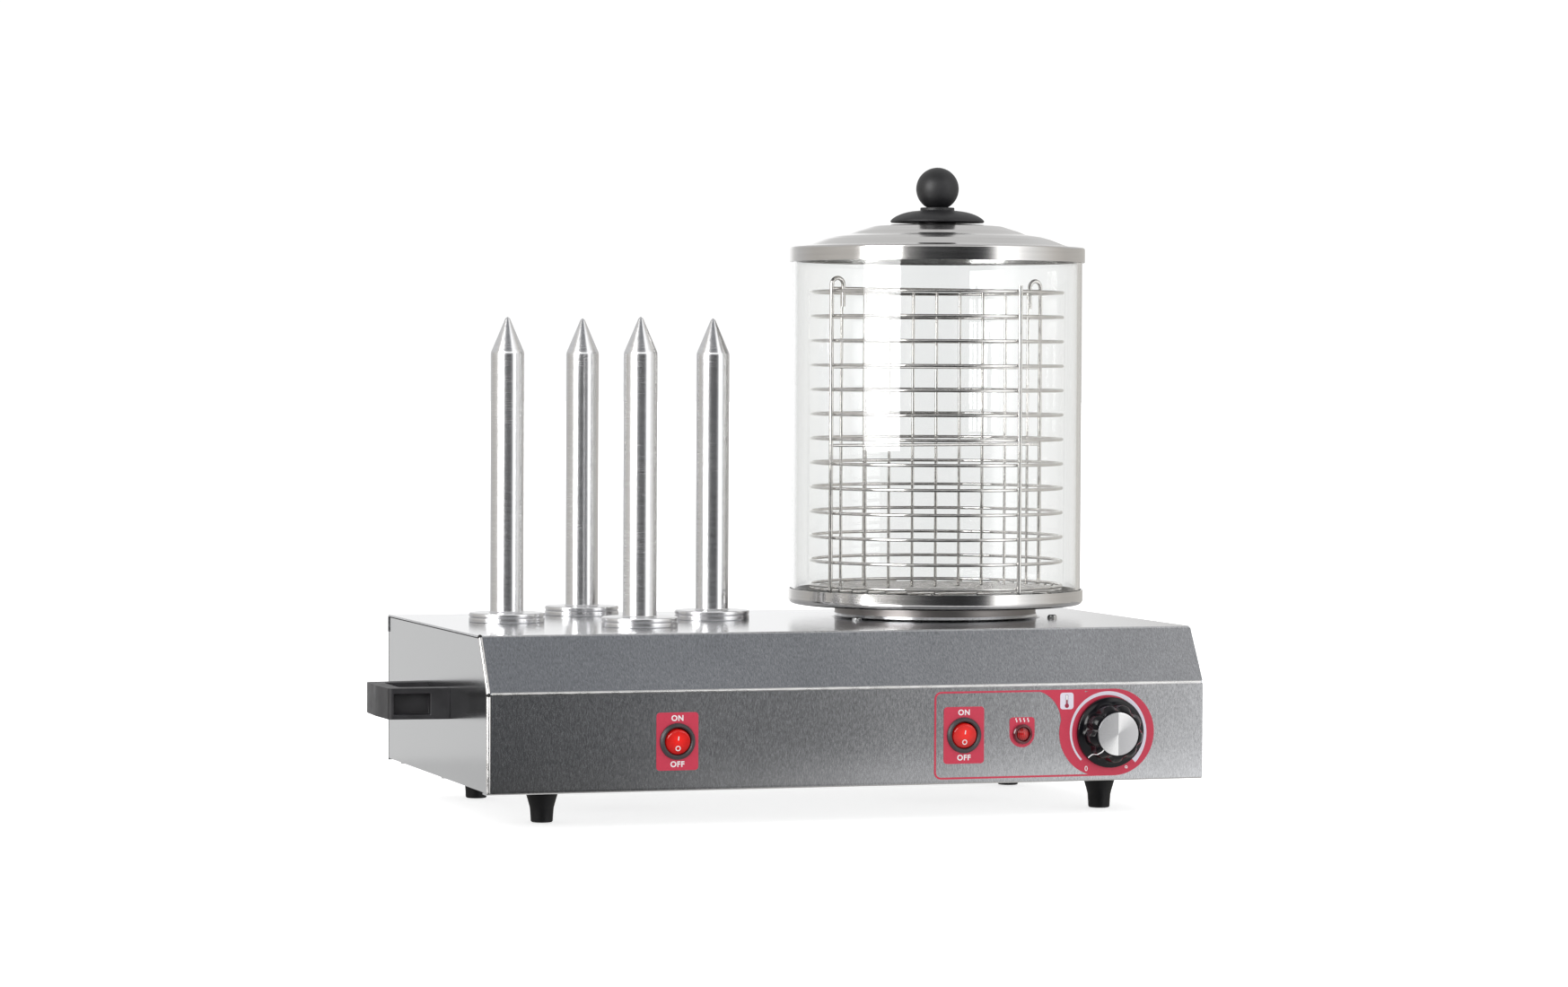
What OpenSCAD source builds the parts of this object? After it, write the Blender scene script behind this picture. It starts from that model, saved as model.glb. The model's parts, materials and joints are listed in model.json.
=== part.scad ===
// Counter-top hot dog machine: four heated spikes on the left and a steam cylinder
// with a wire basket on the right, on a housing of folded sheet metal.
// Millimetres. The origin lies on the table, under the middle of the outline.
// +X points right, +Y to the back and +Z up.

/* [Housing] */
// Width of the housing
body_w = 500; // [470:5:620]
// Depth of the housing
body_d = 285; // [275:5:360]
// Height of the housing without its feet
body_h = 102.4; // [96:0.2:140]
// Height of the upright front, up to the fold
front_h = 65.8; // [62:0.2:80]
// How far the slope leans back
slope_d = 23; // [10:1:40]
// Thickness of the sheet metal
sheet_t = 1.2; // [0.8:0.1:1.6]
// Outer radius of the folds
fold_r = 2.4; // [1.8:0.1:4]
// Width of the turned-in edges
flange_w = 12; // [9:1:16]
// How far the side panels stand back under the edge of the cover
side_set = 0.8; // [0.4:0.1:1.5]
// Radius of the round reliefs at the ends of the folds
relief_r = 1.3; // [0.8:0.1:2]

/* [Air slots] */
// Length of an air slot
slot_l = 46; // [30:1:60]
// Width of an air slot
slot_w = 3; // [2:0.5:5]
// Distance from slot to slot
slot_pitch = 10; // [8:1:16]
// Number of slots in a group
slot_count = 7; // [3:1:9]

/* [Feet] */
// Height of the gap between the housing and the table
foot_gap = 23.6; // [18:0.2:40]
// Radius of a foot at its top
foot_top_r = 10.4; // [8.6:0.1:14]
// Radius of a foot near the table
foot_low_r = 7.3; // [6.2:0.1:8]
// Distance from a side to the middle of a foot
foot_side = 52; // [30:1:80]
// Distance from the front to the front feet
foot_front = 58; // [25:1:70]
// Distance from the back to the back feet
foot_back = 50; // [40:1:90]

/* [Handles] */
// Length of a handle against the side panel
grip_base_l = 76; // [70:1:110]
// Length of a handle at its outer bar
grip_bar_l = 67; // [60:1:76]
// How far a handle stands out
grip_out = 42; // [38:1:60]
// Height of a handle
grip_h = 20.8; // [18:0.2:26]
// Thickness of the bar and the arms
grip_t = 11; // [9:0.5:13]
// Height of the handle's middle above the housing's lower edge
grip_rise = 52.4; // [35:0.2:58]
// Depth of the pockets in the arms
pocket_d = 6; // [3:0.5:7]
// Wall round a pocket
pocket_wall = 2.7; // [2:0.1:4]

/* [Screws] */
// Radius of a small screw
screw_r = 2; // [1.5:0.1:2.4]
// Radius of a small screw's head
head_r = 3.6; // [3:0.1:4]
// Height of a small screw's head
head_h = 2.2; // [1.6:0.1:3]
// Clearance round a screw or a spigot
play = 0.3; // [0.3:0.05:0.5]
// Gap where a loose part rests on its seat
seat_gap = 0.3; // [0.3:0.05:0.5]

/* [Rocker switches] */
// Distance from the left side to the left switch
left_switch_in = 128; // [100:1:170]
// Distance from the right side to the right switch
right_switch_in = 172.5; // [165:0.5:190]
// Height of the controls' middle above the housing's lower edge
control_rise = 32.8; // [31:0.1:34]
// Radius of the bezel
bezel_r = 12; // [11.2:0.1:13]
// How far the bezel stands out
bezel_out = 2.4; // [1.8:0.1:3]
// Radius of the switch body behind the panel
switch_r = 10; // [9.8:0.1:10.6]
// Depth of the switch body behind the panel
switch_d = 24; // [18:1:32]
// Radius of the rocker
rocker_r = 8.7; // [8:0.1:9]
// Half of the angle that the rocker tilts
rocker_tilt = 12; // [8:1:14]

/* [Labels] */
// Thickness of the printed films
film_t = 0.3; // [0.2:0.05:0.5]
// Width of a switch label
label_w = 28.6; // [26:0.2:30]
// Height of a switch label
label_h = 38; // [34:0.2:42]
// Corner radius of the labels
label_r = 2.4; // [1.5:0.1:4]
// Height of the framed field
frame_h = 58.6; // [56:0.2:60]
// Width of the frame's line
frame_line = 1.2; // [0.8:0.1:2]
// Half of the dial plate's width
dial_half_w = 34.2; // [32.6:0.1:35.4]
// How far the dial plate's middle lies left of the knob
dial_left = 1.8; // [0.6:0.1:3]
// Radius of the sweep from the frame into the dial plate
sweep_r = 22; // [16:0.5:24]

/* [Pilot lamp] */
// Distance from the right side to the lamp
lamp_in = 131; // [128:0.5:133]
// Radius of the lamp's ring
lamp_r = 6.7; // [6:0.1:7]
// Radius of the lens
lens_r = 4.6; // [4:0.1:4.8]

/* [Control knob] */
// Distance from the right side to the knob
knob_in = 68.2; // [66:0.2:76]
// How far the knob stands out from the front
knob_out = 17.5; // [15:0.5:24]
// Radius of the skirt
skirt_r = 23.8; // [22:0.2:25]
// Radius of the grip
grip_r = 20; // [18.4:0.2:21]
// Radius of the metal cap
cap_r = 14.6; // [13:0.1:15.4]
// Number of hollows round the grip
lobes = 9; // [6:1:12]
// Radius of the thermostat's shaft
shaft_r = 3; // [2.5:0.1:3.4]

/* [Boiler] */
// Distance from the right side to the cylinder's axis, before the housing's width stretches it
boiler_in = 130.6; // [126:0.2:140]
// Distance from the back to the cylinder's axis
boiler_back = 110.7; // [107:0.1:125]
// Outer radius of the pot and its neck
neck_r = 70.8; // [66:0.2:74]
// Height of the neck above the top
neck_h = 8.9; // [6:0.1:14]
// Depth of the pot, from the neck's rim down
pot_d = 80; // [70:1:88]
// Radius of the circle of dome nuts
nut_circle_r = 83.5; // [81:0.5:88]
// Radius of the studs under the dome nuts
stud_r = 1.5; // [1.2:0.1:2]
// Radius of the heating element's tube
heater_r = 4; // [3:0.1:4.5]

/* [Glass cylinder] */
// Outer radius of the glass
glass_r = 102; // [100:0.5:103]
// Height of the glass
glass_h = 240; // [236:1:280]
// Thickness of the glass
glass_t = 3; // [2.5:0.1:4]
// Height of the tray under the glass
tray_h = 10.6; // [9:0.2:16]
// Thickness of the seal under the glass
gasket_t = 3; // [2:0.1:4]
// Gap between the glass and the metal round it
glass_play = 0.7; // [0.4:0.1:1.2]

/* [Lid] */
// Height of the lid's rim
rim_h = 10.3; // [8:0.1:14]
// How far the rim reaches over the glass
lid_lap = 4; // [3:0.1:6]
// Height of the dome above the rim
dome_h = 16; // [12:0.5:26]
// Radius of the knob's ball
ball_r = 15; // [13:0.5:18]
// Radius of the knob's dish
dish_r = 33; // [28:0.5:38]
// Height of the knob above the dome
lid_knob_h = 40.4; // [38:0.2:52]

/* [Basket] */
// Radius of the rings, to the middle of the wire
ring_r = 88.4; // [86:0.2:89]
// Radius of the rings' wire
ring_wire_r = 1.15; // [0.9:0.05:1.3]
// Radius of the uprights' wire
upright_wire_r = 1.5; // [1.2:0.1:1.6]
// Radius of the wire in the partition and the floor
grid_wire_r = 1.1; // [0.9:0.05:1.2]
// Distance from ring to ring
ring_pitch = 17.13; // [16.5:0.1:17.6]
// Number of rings
ring_count = 13; // [10:1:13]
// Height of the lowest ring above the tray's floor
ring_rise = 12.3; // [9:0.1:14]
// How far the basket is turned
basket_turn = 14; // [0:1:20]
// Distance from wire to wire in the partition
grid_pitch = 19.7; // [17:0.1:20]
// Number of upright wires in the partition
grid_count = 9; // [7:2:9]
// Distance from wire to wire in the floor
floor_pitch = 12.2; // [11:0.1:14]

/* [Spikes] */
// Distance from the left side to the middle of the spikes, before the housing's width stretches it
spikes_in = 132; // [125:1:140]
// Distance from the middle of the spikes to the cylinder's axis, before the width stretches it
spikes_to_boiler = 237.4; // [225:0.2:260]
// Distance from the back to the middle of the spikes
spikes_back = 108; // [102:1:125]
// Distance from the middle of the spikes to each spike
spike_spread = 73.5; // [66:0.5:80]
// Height of a spike above the top
spike_h = 209; // [180:1:240]
// Radius of a spike
spike_r = 11.5; // [10.5:0.5:13]
// Length of the pointed end
point_l = 24.5; // [20:0.5:32]
// Radius of the rounded tip
tip_r = 2; // [1.5:0.1:3]
// Radius of the foot flange
spike_flange_r = 26; // [22:0.5:28]
// Height of the foot flange
spike_flange_h = 6.5; // [5:0.5:9]

/* [Cable entry] */
// How far the gland stands out at the back
gland_out = 14; // [10:1:20]
// Radius of the bore for the mains lead
gland_bore_r = 4.2; // [3.5:0.1:5]
// Distance from the right side to the gland
gland_in = 62; // [45:1:80]
// Height of the gland above the housing's lower edge
gland_rise = 26; // [22:1:40]

/* [Hidden] */
$fn = 64;
// Overrun of a cut past the face that it opens
over = 0.5;

// Levels and faces of the housing
low_z = foot_gap;
top_z = low_z + body_h;
fold_z = low_z + front_h;
half_w = body_w / 2;
front_y = -(body_d + gland_out - knob_out) / 2;
back_y = front_y + body_d;
slope_h = body_h - front_h;
slope_len = sqrt(slope_d * slope_d + slope_h * slope_h);
// Direction of the slope, as shares of its length
slope_rise_share = slope_h / slope_len;
slope_lean_share = slope_d / slope_len;
slope_angle = atan2(slope_h, slope_d);
fold_steps = 5;

// Places of the main groups. The three bays across the width stretch with it.
bay_scale = body_w / (spikes_in + spikes_to_boiler + boiler_in);
boiler_x = half_w - boiler_in * bay_scale;
boiler_y = back_y - boiler_back;
spikes_x = -half_w + spikes_in * bay_scale;
spikes_y = back_y - spikes_back;
control_z = low_z + control_rise;
left_switch_x = -half_w + left_switch_in;
right_switch_x = half_w - right_switch_in;
lamp_x = half_w - lamp_in;
knob_x = half_w - knob_in;
grip_z = low_z + grip_rise;
grip_y = (front_y + back_y) / 2;
gland_x = half_w - gland_in;
gland_z = low_z + gland_rise;

// Levels of the steam cylinder, from the tray upward
tray_z = top_z + neck_h + seat_gap;
tray_floor_z = tray_z + sheet_t;
tray_r = glass_r + glass_play + sheet_t;
glass_z = tray_floor_z + gasket_t;
glass_top_z = glass_z + glass_h;
lid_z = glass_top_z - lid_lap;
rim_top_z = lid_z + rim_h;
dome_top_z = rim_top_z + dome_h;

// Corners of the housing's cross-section, moved in by a distance
function fold_in(inset) = fold_z - inset * (1 - slope_rise_share) / slope_lean_share;
function crest_in(inset) = (inset + (slope_h - inset) * slope_lean_share) / slope_rise_share;
function section(inset, back) = [
    [front_y + inset, low_z + inset], [front_y + inset, fold_in(inset)],
    [front_y + crest_in(inset), top_z - inset], [back - inset, top_z - inset],
    [back - inset, low_z + inset]];
// Points of a bend of the given radius, at a corner that two straight faces meet in
function bend(corner, radius, face_a, face_b) = let (
    turn = face_b - face_a,
    reach = radius / cos(turn / 2),
    middle = (face_a + face_b) / 2,
    centre = corner - reach * [cos(middle), sin(middle)])
    [for (i = [0:fold_steps]) let (a = face_a + turn * i / fold_steps)
        centre + radius * [cos(a), sin(a)]];

// Directions that the front, the slope, the top and the back face, seen from the right side
facing_front = 180;
facing_slope = 90 + slope_angle;
facing_top = 90;
facing_back = 0;
facing_down = 270;

// Turns a drawing in the housing's cross-section into a bar along X, centred on x
module along_x(x, length) {
    translate([x - length / 2, 0, 0]) rotate([90, 0, 90]) linear_extrude(length) children();
}

// Local frame on the front: x to the right, y up and z out towards the viewer
module on_front(x, z) {
    translate([x, front_y, z]) rotate([90, 0, 0]) children();
}

// Local frame on the back, from outside: y up and z out of the back
module on_back(x, z) {
    translate([x, back_y, z]) rotate([-90, 0, 0]) mirror([0, 1, 0]) children();
}

module at_boiler(z) {
    translate([boiler_x, boiler_y, z]) children();
}

// A round bar with an edge that the given cut takes off at its far end
module stepped_disc(r, h, cut) {
    rotate_extrude() polygon([[0, 0], [r, 0], [r, h - cut], [r - cut, h], [0, h]]);
}

module ring(outer_r, inner_r, h) {
    difference() {
        cylinder(r = outer_r, h = h);
        translate([0, 0, -over]) cylinder(r = inner_r, h = h + 2 * over);
    }
}

module rounded_plate(w, h, r) {
    square([w - 2 * r, h], center = true);
    square([w, h - 2 * r], center = true);
    for (x = [-1, 1], y = [-1, 1]) translate([x * (w / 2 - r), y * (h / 2 - r)]) circle(r);
}

// A screw that points up into what it holds, its head below
module screw(r, length, head, head_height) {
    cylinder(r = head, h = head_height);
    cylinder(r = r, h = head_height + length);
}

module hex_nut(r, bore, h) {
    difference() {
        cylinder(r = r, h = h, $fn = 6);
        translate([0, 0, -over]) cylinder(r = bore, h = h + 2 * over);
    }
}

// Places of the fasteners
spike_angles = [180, 90, 270, 0];
nut_angles = [90, 210, 330];
function spike_place(i) = [spikes_x, spikes_y, 0]
    + spike_spread * [cos(spike_angles[i]), sin(spike_angles[i]), 0];
function foot_places() = [for (x = [-1, 1], y = [front_y + foot_front, back_y - foot_back])
    [x * (half_w - foot_side), y]];
// Screws of the back, and of the bottom, lie in the middle of the turned-in edges
edge_in = sheet_t + flange_w / 2;
rear_screw_in = sheet_t + flange_w / 2 + side_set;
function rear_screw_places() = [for (x = [-1, 0, 1], z = [low_z + edge_in, top_z - edge_in])
    [x * (half_w - rear_screw_in), z]];
function base_screw_places() = [for (x = [-1, 1], y = [-1, 0, 1])
    [x * (half_w - side_set - edge_in), (front_y + back_y) / 2 + y * (body_d / 2 - 2 * flange_w)]];

// Cover of the housing
spigot_r = 8;
shell_back_y = back_y - sheet_t;
cross_section = concat(
    [[front_y + flange_w, low_z]],
    bend([front_y, low_z], fold_r, facing_down, facing_front),
    bend([front_y, fold_z], fold_r, facing_front, facing_slope),
    bend([front_y + slope_d, top_z], fold_r, facing_slope, facing_top),
    bend([shell_back_y, top_z], fold_r, facing_top, facing_back),
    [[shell_back_y, top_z - flange_w], [shell_back_y - sheet_t, top_z - flange_w]],
    bend([shell_back_y - sheet_t, top_z - sheet_t], fold_r - sheet_t, facing_back, facing_top),
    bend([front_y + crest_in(sheet_t), top_z - sheet_t], fold_r - sheet_t, facing_top, facing_slope),
    bend([front_y + sheet_t, fold_in(sheet_t)], fold_r - sheet_t, facing_slope, facing_front),
    bend([front_y + sheet_t, low_z + sheet_t], fold_r - sheet_t, facing_front, facing_down),
    [[front_y + flange_w, low_z + sheet_t]]);

// Place along the front, and radius, of what passes through it
function control_holes() = [
    [left_switch_x, switch_r], [right_switch_x, switch_r], [lamp_x, lens_r], [knob_x, bush_r]];

// Edge of the top, drawn up round the boiler's neck
drawn_r = 3;
drawn_shares = [[1, 0], [0.4, 0.15], [0.15, 0.4], [0, 1]];

module drawn_edge() {
    inner = neck_r + play;
    translate([boiler_x, boiler_y, top_z]) rotate_extrude() polygon(concat(
        [[inner, -sheet_t / 2], [inner + drawn_r, -sheet_t / 2]],
        [for (p = drawn_shares) [inner + p[0] * drawn_r, p[1] * drawn_r]]));
}

module housing_shell() {
    color("silver") {
        folded_cover();
        drawn_edge();
    }
}

module folded_cover() {
    cut_h = 2 * over + sheet_t;
    difference() {
        along_x(0, body_w) polygon(cross_section);
        translate([0, 0, top_z - sheet_t - over]) {
            translate([boiler_x, boiler_y, 0]) {
                cylinder(r = neck_r + play, h = cut_h);
                for (a = nut_angles) rotate(a) translate([nut_circle_r, 0, 0])
                    cylinder(r = stud_r + play, h = cut_h);
            }
            for (i = [0:3]) translate(spike_place(i)) cylinder(r = spigot_r + play, h = cut_h);
        }
        for (hole = control_holes()) on_front(hole[0], control_z) translate([0, 0, -sheet_t - over])
            cylinder(r = hole[1] + play, h = cut_h);
        for (p = rear_screw_places()) on_back(p[0], p[1])
            translate([0, 0, -3 * sheet_t]) cylinder(r = screw_r + play, h = 2 * sheet_t + over);
        for (x = [-half_w, half_w]) {
            along_x(x, 2 * relief_r) translate([front_y, fold_z]) circle(relief_r);
            along_x(x, 2 * relief_r) translate([front_y + slope_d, top_z]) circle(relief_r);
        }
    }
}

// Side panel at the left; the right one is its mirror image
side_r = fold_r;
side_section_outer = concat(
    bend([front_y + sheet_t, low_z + sheet_t], side_r, facing_down, facing_front),
    bend([front_y + sheet_t, fold_in(sheet_t)], side_r, facing_front, facing_slope),
    bend([front_y + crest_in(sheet_t), top_z - sheet_t], side_r, facing_slope, facing_top),
    bend([shell_back_y - sheet_t, top_z - sheet_t], side_r, facing_top, facing_back),
    bend([shell_back_y - sheet_t, low_z + sheet_t], side_r, facing_back, facing_down - 360));

module side_panel() {
    panel_x = half_w - side_set - sheet_t;
    difference() {
        translate([panel_x - flange_w + sheet_t, 0, 0]) rotate([90, 0, 90]) linear_extrude(flange_w)
            polygon(side_section_outer);
        translate([panel_x - flange_w + sheet_t - over, 0, 0]) rotate([90, 0, 90])
            linear_extrude(flange_w - sheet_t + over) polygon(section(2 * sheet_t, shell_back_y));
        for (y = [-1, 1]) translate([panel_x - over, grip_y + y * grip_screw_y, grip_z]) rotate([0, 90, 0])
            cylinder(r = screw_r + play, h = sheet_t + 2 * over);
        for (p = base_screw_places()) if (p[0] > 0) translate([p[0], p[1], low_z + sheet_t - over])
            cylinder(r = screw_r + play, h = sheet_t + 2 * over);
        for (p = rear_screw_places()) if (p[0] > 0)
            translate([p[0], shell_back_y - 2 * sheet_t - over, p[1]]) rotate([-90, 0, 0])
                cylinder(r = screw_r + play, h = 2 * sheet_t + 2 * over);
    }
}

module right_side_panel() { color("silver") side_panel(); }

module left_side_panel() { color("silver") mirror([1, 0, 0]) side_panel(); }

// Back of the housing, with its air slots
slot_round_share = 0.49;

module slots(count) {
    for (i = [0:count - 1]) translate([(i - (count - 1) / 2) * slot_pitch, 0])
        rounded_plate(slot_w, slot_l, slot_w * slot_round_share);
}

module rear_panel() {
    color("silver") difference() {
        translate([-half_w + side_set, back_y - sheet_t, low_z])
            cube([body_w - 2 * side_set, sheet_t, body_h - fold_r]);
        for (p = rear_screw_places()) on_back(p[0], p[1])
            translate([0, 0, -sheet_t - over]) cylinder(r = screw_r + play, h = sheet_t + 2 * over);
        on_back(gland_x, gland_z) translate([0, 0, -sheet_t - over])
            cylinder(r = gland_thread_r + play, h = sheet_t + 2 * over);
        for (x = [spikes_x, 0]) on_back(x, low_z + body_h / 2) translate([0, 0, -sheet_t - over])
            linear_extrude(sheet_t + 2 * over) slots(slot_count);
    }
}

module rear_screws() {
    color("gainsboro") for (p = rear_screw_places()) on_back(p[0], p[1])
        mirror([0, 0, 1]) translate([0, 0, -head_h]) screw(screw_r, 4 * sheet_t, head_r, head_h);
}

// Bottom of the housing
base_z = low_z + 2 * sheet_t;
foot_screw_r = 2.5;

module base_plate() {
    edge_x = half_w - side_set - sheet_t - play;
    edge_front = front_y + sheet_t + play + fold_r - sheet_t;
    edge_back = shell_back_y - 2 * sheet_t - play;
    color("lightgray") difference() {
        translate([-edge_x, edge_front, base_z]) cube([2 * edge_x, edge_back - edge_front, sheet_t]);
        for (p = foot_places()) translate([p[0], p[1], base_z - over])
            cylinder(r = foot_screw_r + play, h = sheet_t + 2 * over);
        for (p = base_screw_places()) translate([p[0], p[1], base_z - over])
            cylinder(r = screw_r + play, h = sheet_t + 2 * over);
        for (x = [spikes_x, boiler_x]) translate([x, (front_y + back_y) / 2, base_z - over])
            linear_extrude(sheet_t + 2 * over) slots(slot_count);
    }
}

module base_screws() {
    color("gainsboro") for (p = base_screw_places()) translate([p[0], p[1], low_z + sheet_t - head_h])
        screw(screw_r, 3 * sheet_t, head_r, head_h);
}

// Feet, each with its screw from below and its nut inside the housing
foot_h = base_z;
foot_well_d = 9;
foot_edge = 1.2;
// Widening of a foot above its lower radius against its height, each as a share
foot_shares = [[0.06, 0.15], [0.19, 0.36], [0.55, 0.52], [1, 0.7]];
foot_head_r = 4.6;
foot_well_r = foot_head_r + play;
foot_head_h = 3.2;
foot_nut_r = 4.6;
foot_nut_h = 4;

module rubber_feet() {
    color("black") for (p = foot_places()) translate([p[0], p[1], 0]) difference() {
        rotate_extrude() polygon([
            [0, 0], [foot_low_r - foot_edge, 0], [foot_low_r, foot_edge],
            for (s = foot_shares) [foot_low_r + s[0] * (foot_top_r - foot_low_r), s[1] * foot_h],
            [foot_top_r, foot_h], [0, foot_h]]);
        translate([0, 0, -over]) cylinder(r = foot_well_r, h = foot_well_d + over);
        cylinder(r = foot_screw_r + play, h = foot_h + over);
    }
}

module foot_screws() {
    shank = foot_h - foot_well_d + sheet_t + foot_nut_h;
    color("gainsboro") for (p = foot_places()) translate([p[0], p[1], foot_well_d - foot_head_h])
        screw(foot_screw_r, shank, foot_head_r, foot_head_h);
}

module foot_nuts() {
    color("gainsboro") for (p = foot_places()) translate([p[0], p[1], base_z + sheet_t])
        hex_nut(foot_nut_r, foot_screw_r + play, foot_nut_h);
}

// Right handle in its own frame: x out from the panel, y along the panel, z up
grip_screw_y = (grip_base_l - grip_t) / 2;
grip_bend_r = 3;
grip_end_web = 1.6;

function grip_outline() = [
    [0, -grip_base_l / 2], [grip_out - grip_bend_r, -grip_bar_l / 2 - grip_bend_r / 2],
    [grip_out - grip_bend_r / 2, -grip_bar_l / 2], [grip_out, -grip_bar_l / 2 + grip_bend_r],
    [grip_out, grip_bar_l / 2 - grip_bend_r], [grip_out - grip_bend_r / 2, grip_bar_l / 2],
    [grip_out - grip_bend_r, grip_bar_l / 2 + grip_bend_r / 2], [0, grip_base_l / 2]];

module handle() {
    gap_l = grip_bar_l - 2 * grip_t;
    gap_out = grip_out - grip_t;
    pocket_l = grip_out - grip_t - grip_end_web;
    difference() {
        translate([0, 0, -grip_h / 2]) linear_extrude(grip_h) polygon(grip_outline());
        translate([-gap_out, 0, -grip_h / 2 - over]) linear_extrude(grip_h + 2 * over)
            translate([gap_out, 0]) rounded_plate(2 * gap_out, gap_l, grip_bend_r);
        for (y = [-1, 1]) {
            pocket_y = y > 0 ? grip_base_l / 2 - pocket_d : -grip_base_l / 2 - over;
            translate([grip_t, pocket_y, pocket_wall - grip_h / 2])
                cube([pocket_l, pocket_d + over, grip_h - 2 * pocket_wall]);
            translate([-over, y * grip_screw_y, 0]) rotate([0, 90, 0])
                cylinder(r = screw_r, h = grip_t - pocket_wall + over);
        }
    }
}

panel_face_x = half_w - side_set;

module right_handle() { color("#202022") translate([panel_face_x, grip_y, grip_z]) handle(); }

module left_handle() { mirror([1, 0, 0]) right_handle(); }

module handle_screws() {
    color("gainsboro") for (x = [-1, 1], y = [-1, 1])
        translate([x * (panel_face_x - sheet_t - head_h), grip_y + y * grip_screw_y, grip_z])
            rotate([0, x * 90, 0]) screw(screw_r, sheet_t + grip_t / 2, head_r, head_h);
}

// Printed films on the front
module switch_film() {
    linear_extrude(film_t) difference() {
        rounded_plate(label_w, label_h, label_r);
        circle(switch_r + play);
    }
}

module left_switch_label() { color("crimson") on_front(left_switch_x, control_z) switch_film(); }

module right_switch_label() { color("crimson") on_front(right_switch_x, control_z) switch_film(); }

lamp_film_r = 8.9;
lamp_tab_h = 7;

module lamp_label() {
    color("crimson") on_front(lamp_x, control_z) linear_extrude(film_t) difference() {
        union() {
            circle(lamp_film_r);
            translate([-lamp_film_r, 0]) square([2 * lamp_film_r, lamp_film_r]);
            translate([0, lamp_film_r + label_r - lamp_tab_h / 2])
                rounded_plate(2 * lamp_film_r, lamp_tab_h, label_r);
        }
        circle(lens_r + play);
    }
}

// The dial plate's film carries the frame round the right-hand controls
frame_left_gap = 6.6;

module dial_film() {
    frame_x = right_switch_x - label_w / 2 - frame_left_gap - knob_x;
    frame_w = -frame_x;
    sweep_x = -dial_left - dial_half_w - sweep_r + frame_line;
    end_r = frame_h / 2;
    end_x = dial_half_w - end_r;
    difference() {
        translate([frame_x + frame_w / 2, 0]) rounded_plate(frame_w, frame_h, 2 * label_r);
        translate([frame_x + frame_w / 2, 0])
            rounded_plate(frame_w - 2 * frame_line, frame_h - 2 * frame_line, 2 * label_r - frame_line);
    }
    difference() {
        translate([sweep_x, frame_h / 2 - sweep_r]) square([sweep_r + dial_half_w / 2, sweep_r]);
        translate([sweep_x, frame_h / 2 - sweep_r]) circle(sweep_r);
    }
    translate([-dial_left, 0]) {
        for (side = [-1, 1]) translate([side * end_x, 0]) circle(end_r);
        square([2 * end_x, frame_h], center = true);
    }
}

module dial_label() {
    color("crimson") on_front(knob_x, control_z) linear_extrude(film_t) difference() {
        dial_film();
        circle(bush_nut_r + play);
    }
}

// Rocker switches
bezel_bore_r = rocker_r + play;
bezel_cut = 0.8;
rocker_depth = 5;
// How far the rocker's pivot lies behind the bezel's face
rocker_sink = 3.3;
rocker_pivot = film_t + bezel_out - rocker_sink;
rocker_face = 3.9;
rocker_valley = 2.9;
tab_w = 4.8;
tab_t = 0.8;
tab_l = 7;
// Round pins at the rocker's sides, which turn in the switch body's wall
rocker_pin_r = 1.2;

module switch_body() {
    well_d = rocker_r + play;
    difference() {
        union() {
            translate([0, 0, film_t]) stepped_disc(bezel_r, bezel_out, bezel_cut);
            translate([0, 0, -switch_d]) cylinder(r = switch_r, h = switch_d + film_t);
            for (x = [-1, 0, 1]) translate([x * switch_r / 2 - tab_t / 2, -tab_w / 2, -switch_d - tab_l])
                cube([tab_t, tab_w, tab_l + over]);
        }
        translate([0, 0, rocker_pivot - well_d])
            cylinder(r = bezel_bore_r, h = well_d + rocker_sink + over);
        translate([0, 0, rocker_pivot]) rotate([0, 90, 0])
            cylinder(r = rocker_pin_r + bush_play, h = 2 * switch_r + over, center = true);
    }
}

module rocker() {
    translate([0, 0, rocker_pivot]) rotate([rocker_tilt, 0, 0]) {
        intersection() {
            sphere(r = rocker_r);
            rotate([90, 0, 90]) linear_extrude(2 * rocker_r, center = true) polygon([
                [-rocker_r, -rocker_depth], [rocker_r, -rocker_depth], [rocker_r, rocker_face],
                [0, rocker_valley], [-rocker_r, rocker_face]]);
        }
        rotate([0, 90, 0]) cylinder(r = rocker_pin_r, h = 2 * (switch_r - play), center = true);
    }
}

module left_switch_body() { color("#151517") on_front(left_switch_x, control_z) switch_body(); }

module right_switch_body() { color("#151517") on_front(right_switch_x, control_z) switch_body(); }

module left_rocker() { color("red") on_front(left_switch_x, control_z) rocker(); }

module right_rocker() { color("red") on_front(right_switch_x, control_z) rocker(); }

// Pilot lamp
lamp_ring_h = 2.6;
lamp_body_l = 22;
lens_rise = 3.4;

module pilot_lamp_body() {
    color("#3a1014") on_front(lamp_x, control_z) difference() {
        union() {
            translate([0, 0, film_t]) stepped_disc(lamp_r, lamp_ring_h, bezel_cut);
            translate([0, 0, -lamp_body_l]) cylinder(r = lens_r, h = lamp_body_l + film_t);
        }
        translate([0, 0, film_t]) cylinder(r = lens_r, h = lamp_ring_h + over);
    }
}

module pilot_lamp_lens() {
    color("red") on_front(lamp_x, control_z) translate([0, 0, film_t]) intersection() {
        cylinder(r = lens_r - play, h = lens_rise);
        translate([0, 0, lens_rise - 2 * lens_r]) sphere(r = 2 * lens_r);
    }
}

// Thermostat with its bush, nut and shaft
bush_r = 5;
bush_out = 4;
bush_nut_r = 8;
bush_nut_h = 2.5;
bush_play = 0.06;
thermostat_w = 34;
thermostat_d = 22;
shaft_back = 14;

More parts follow.
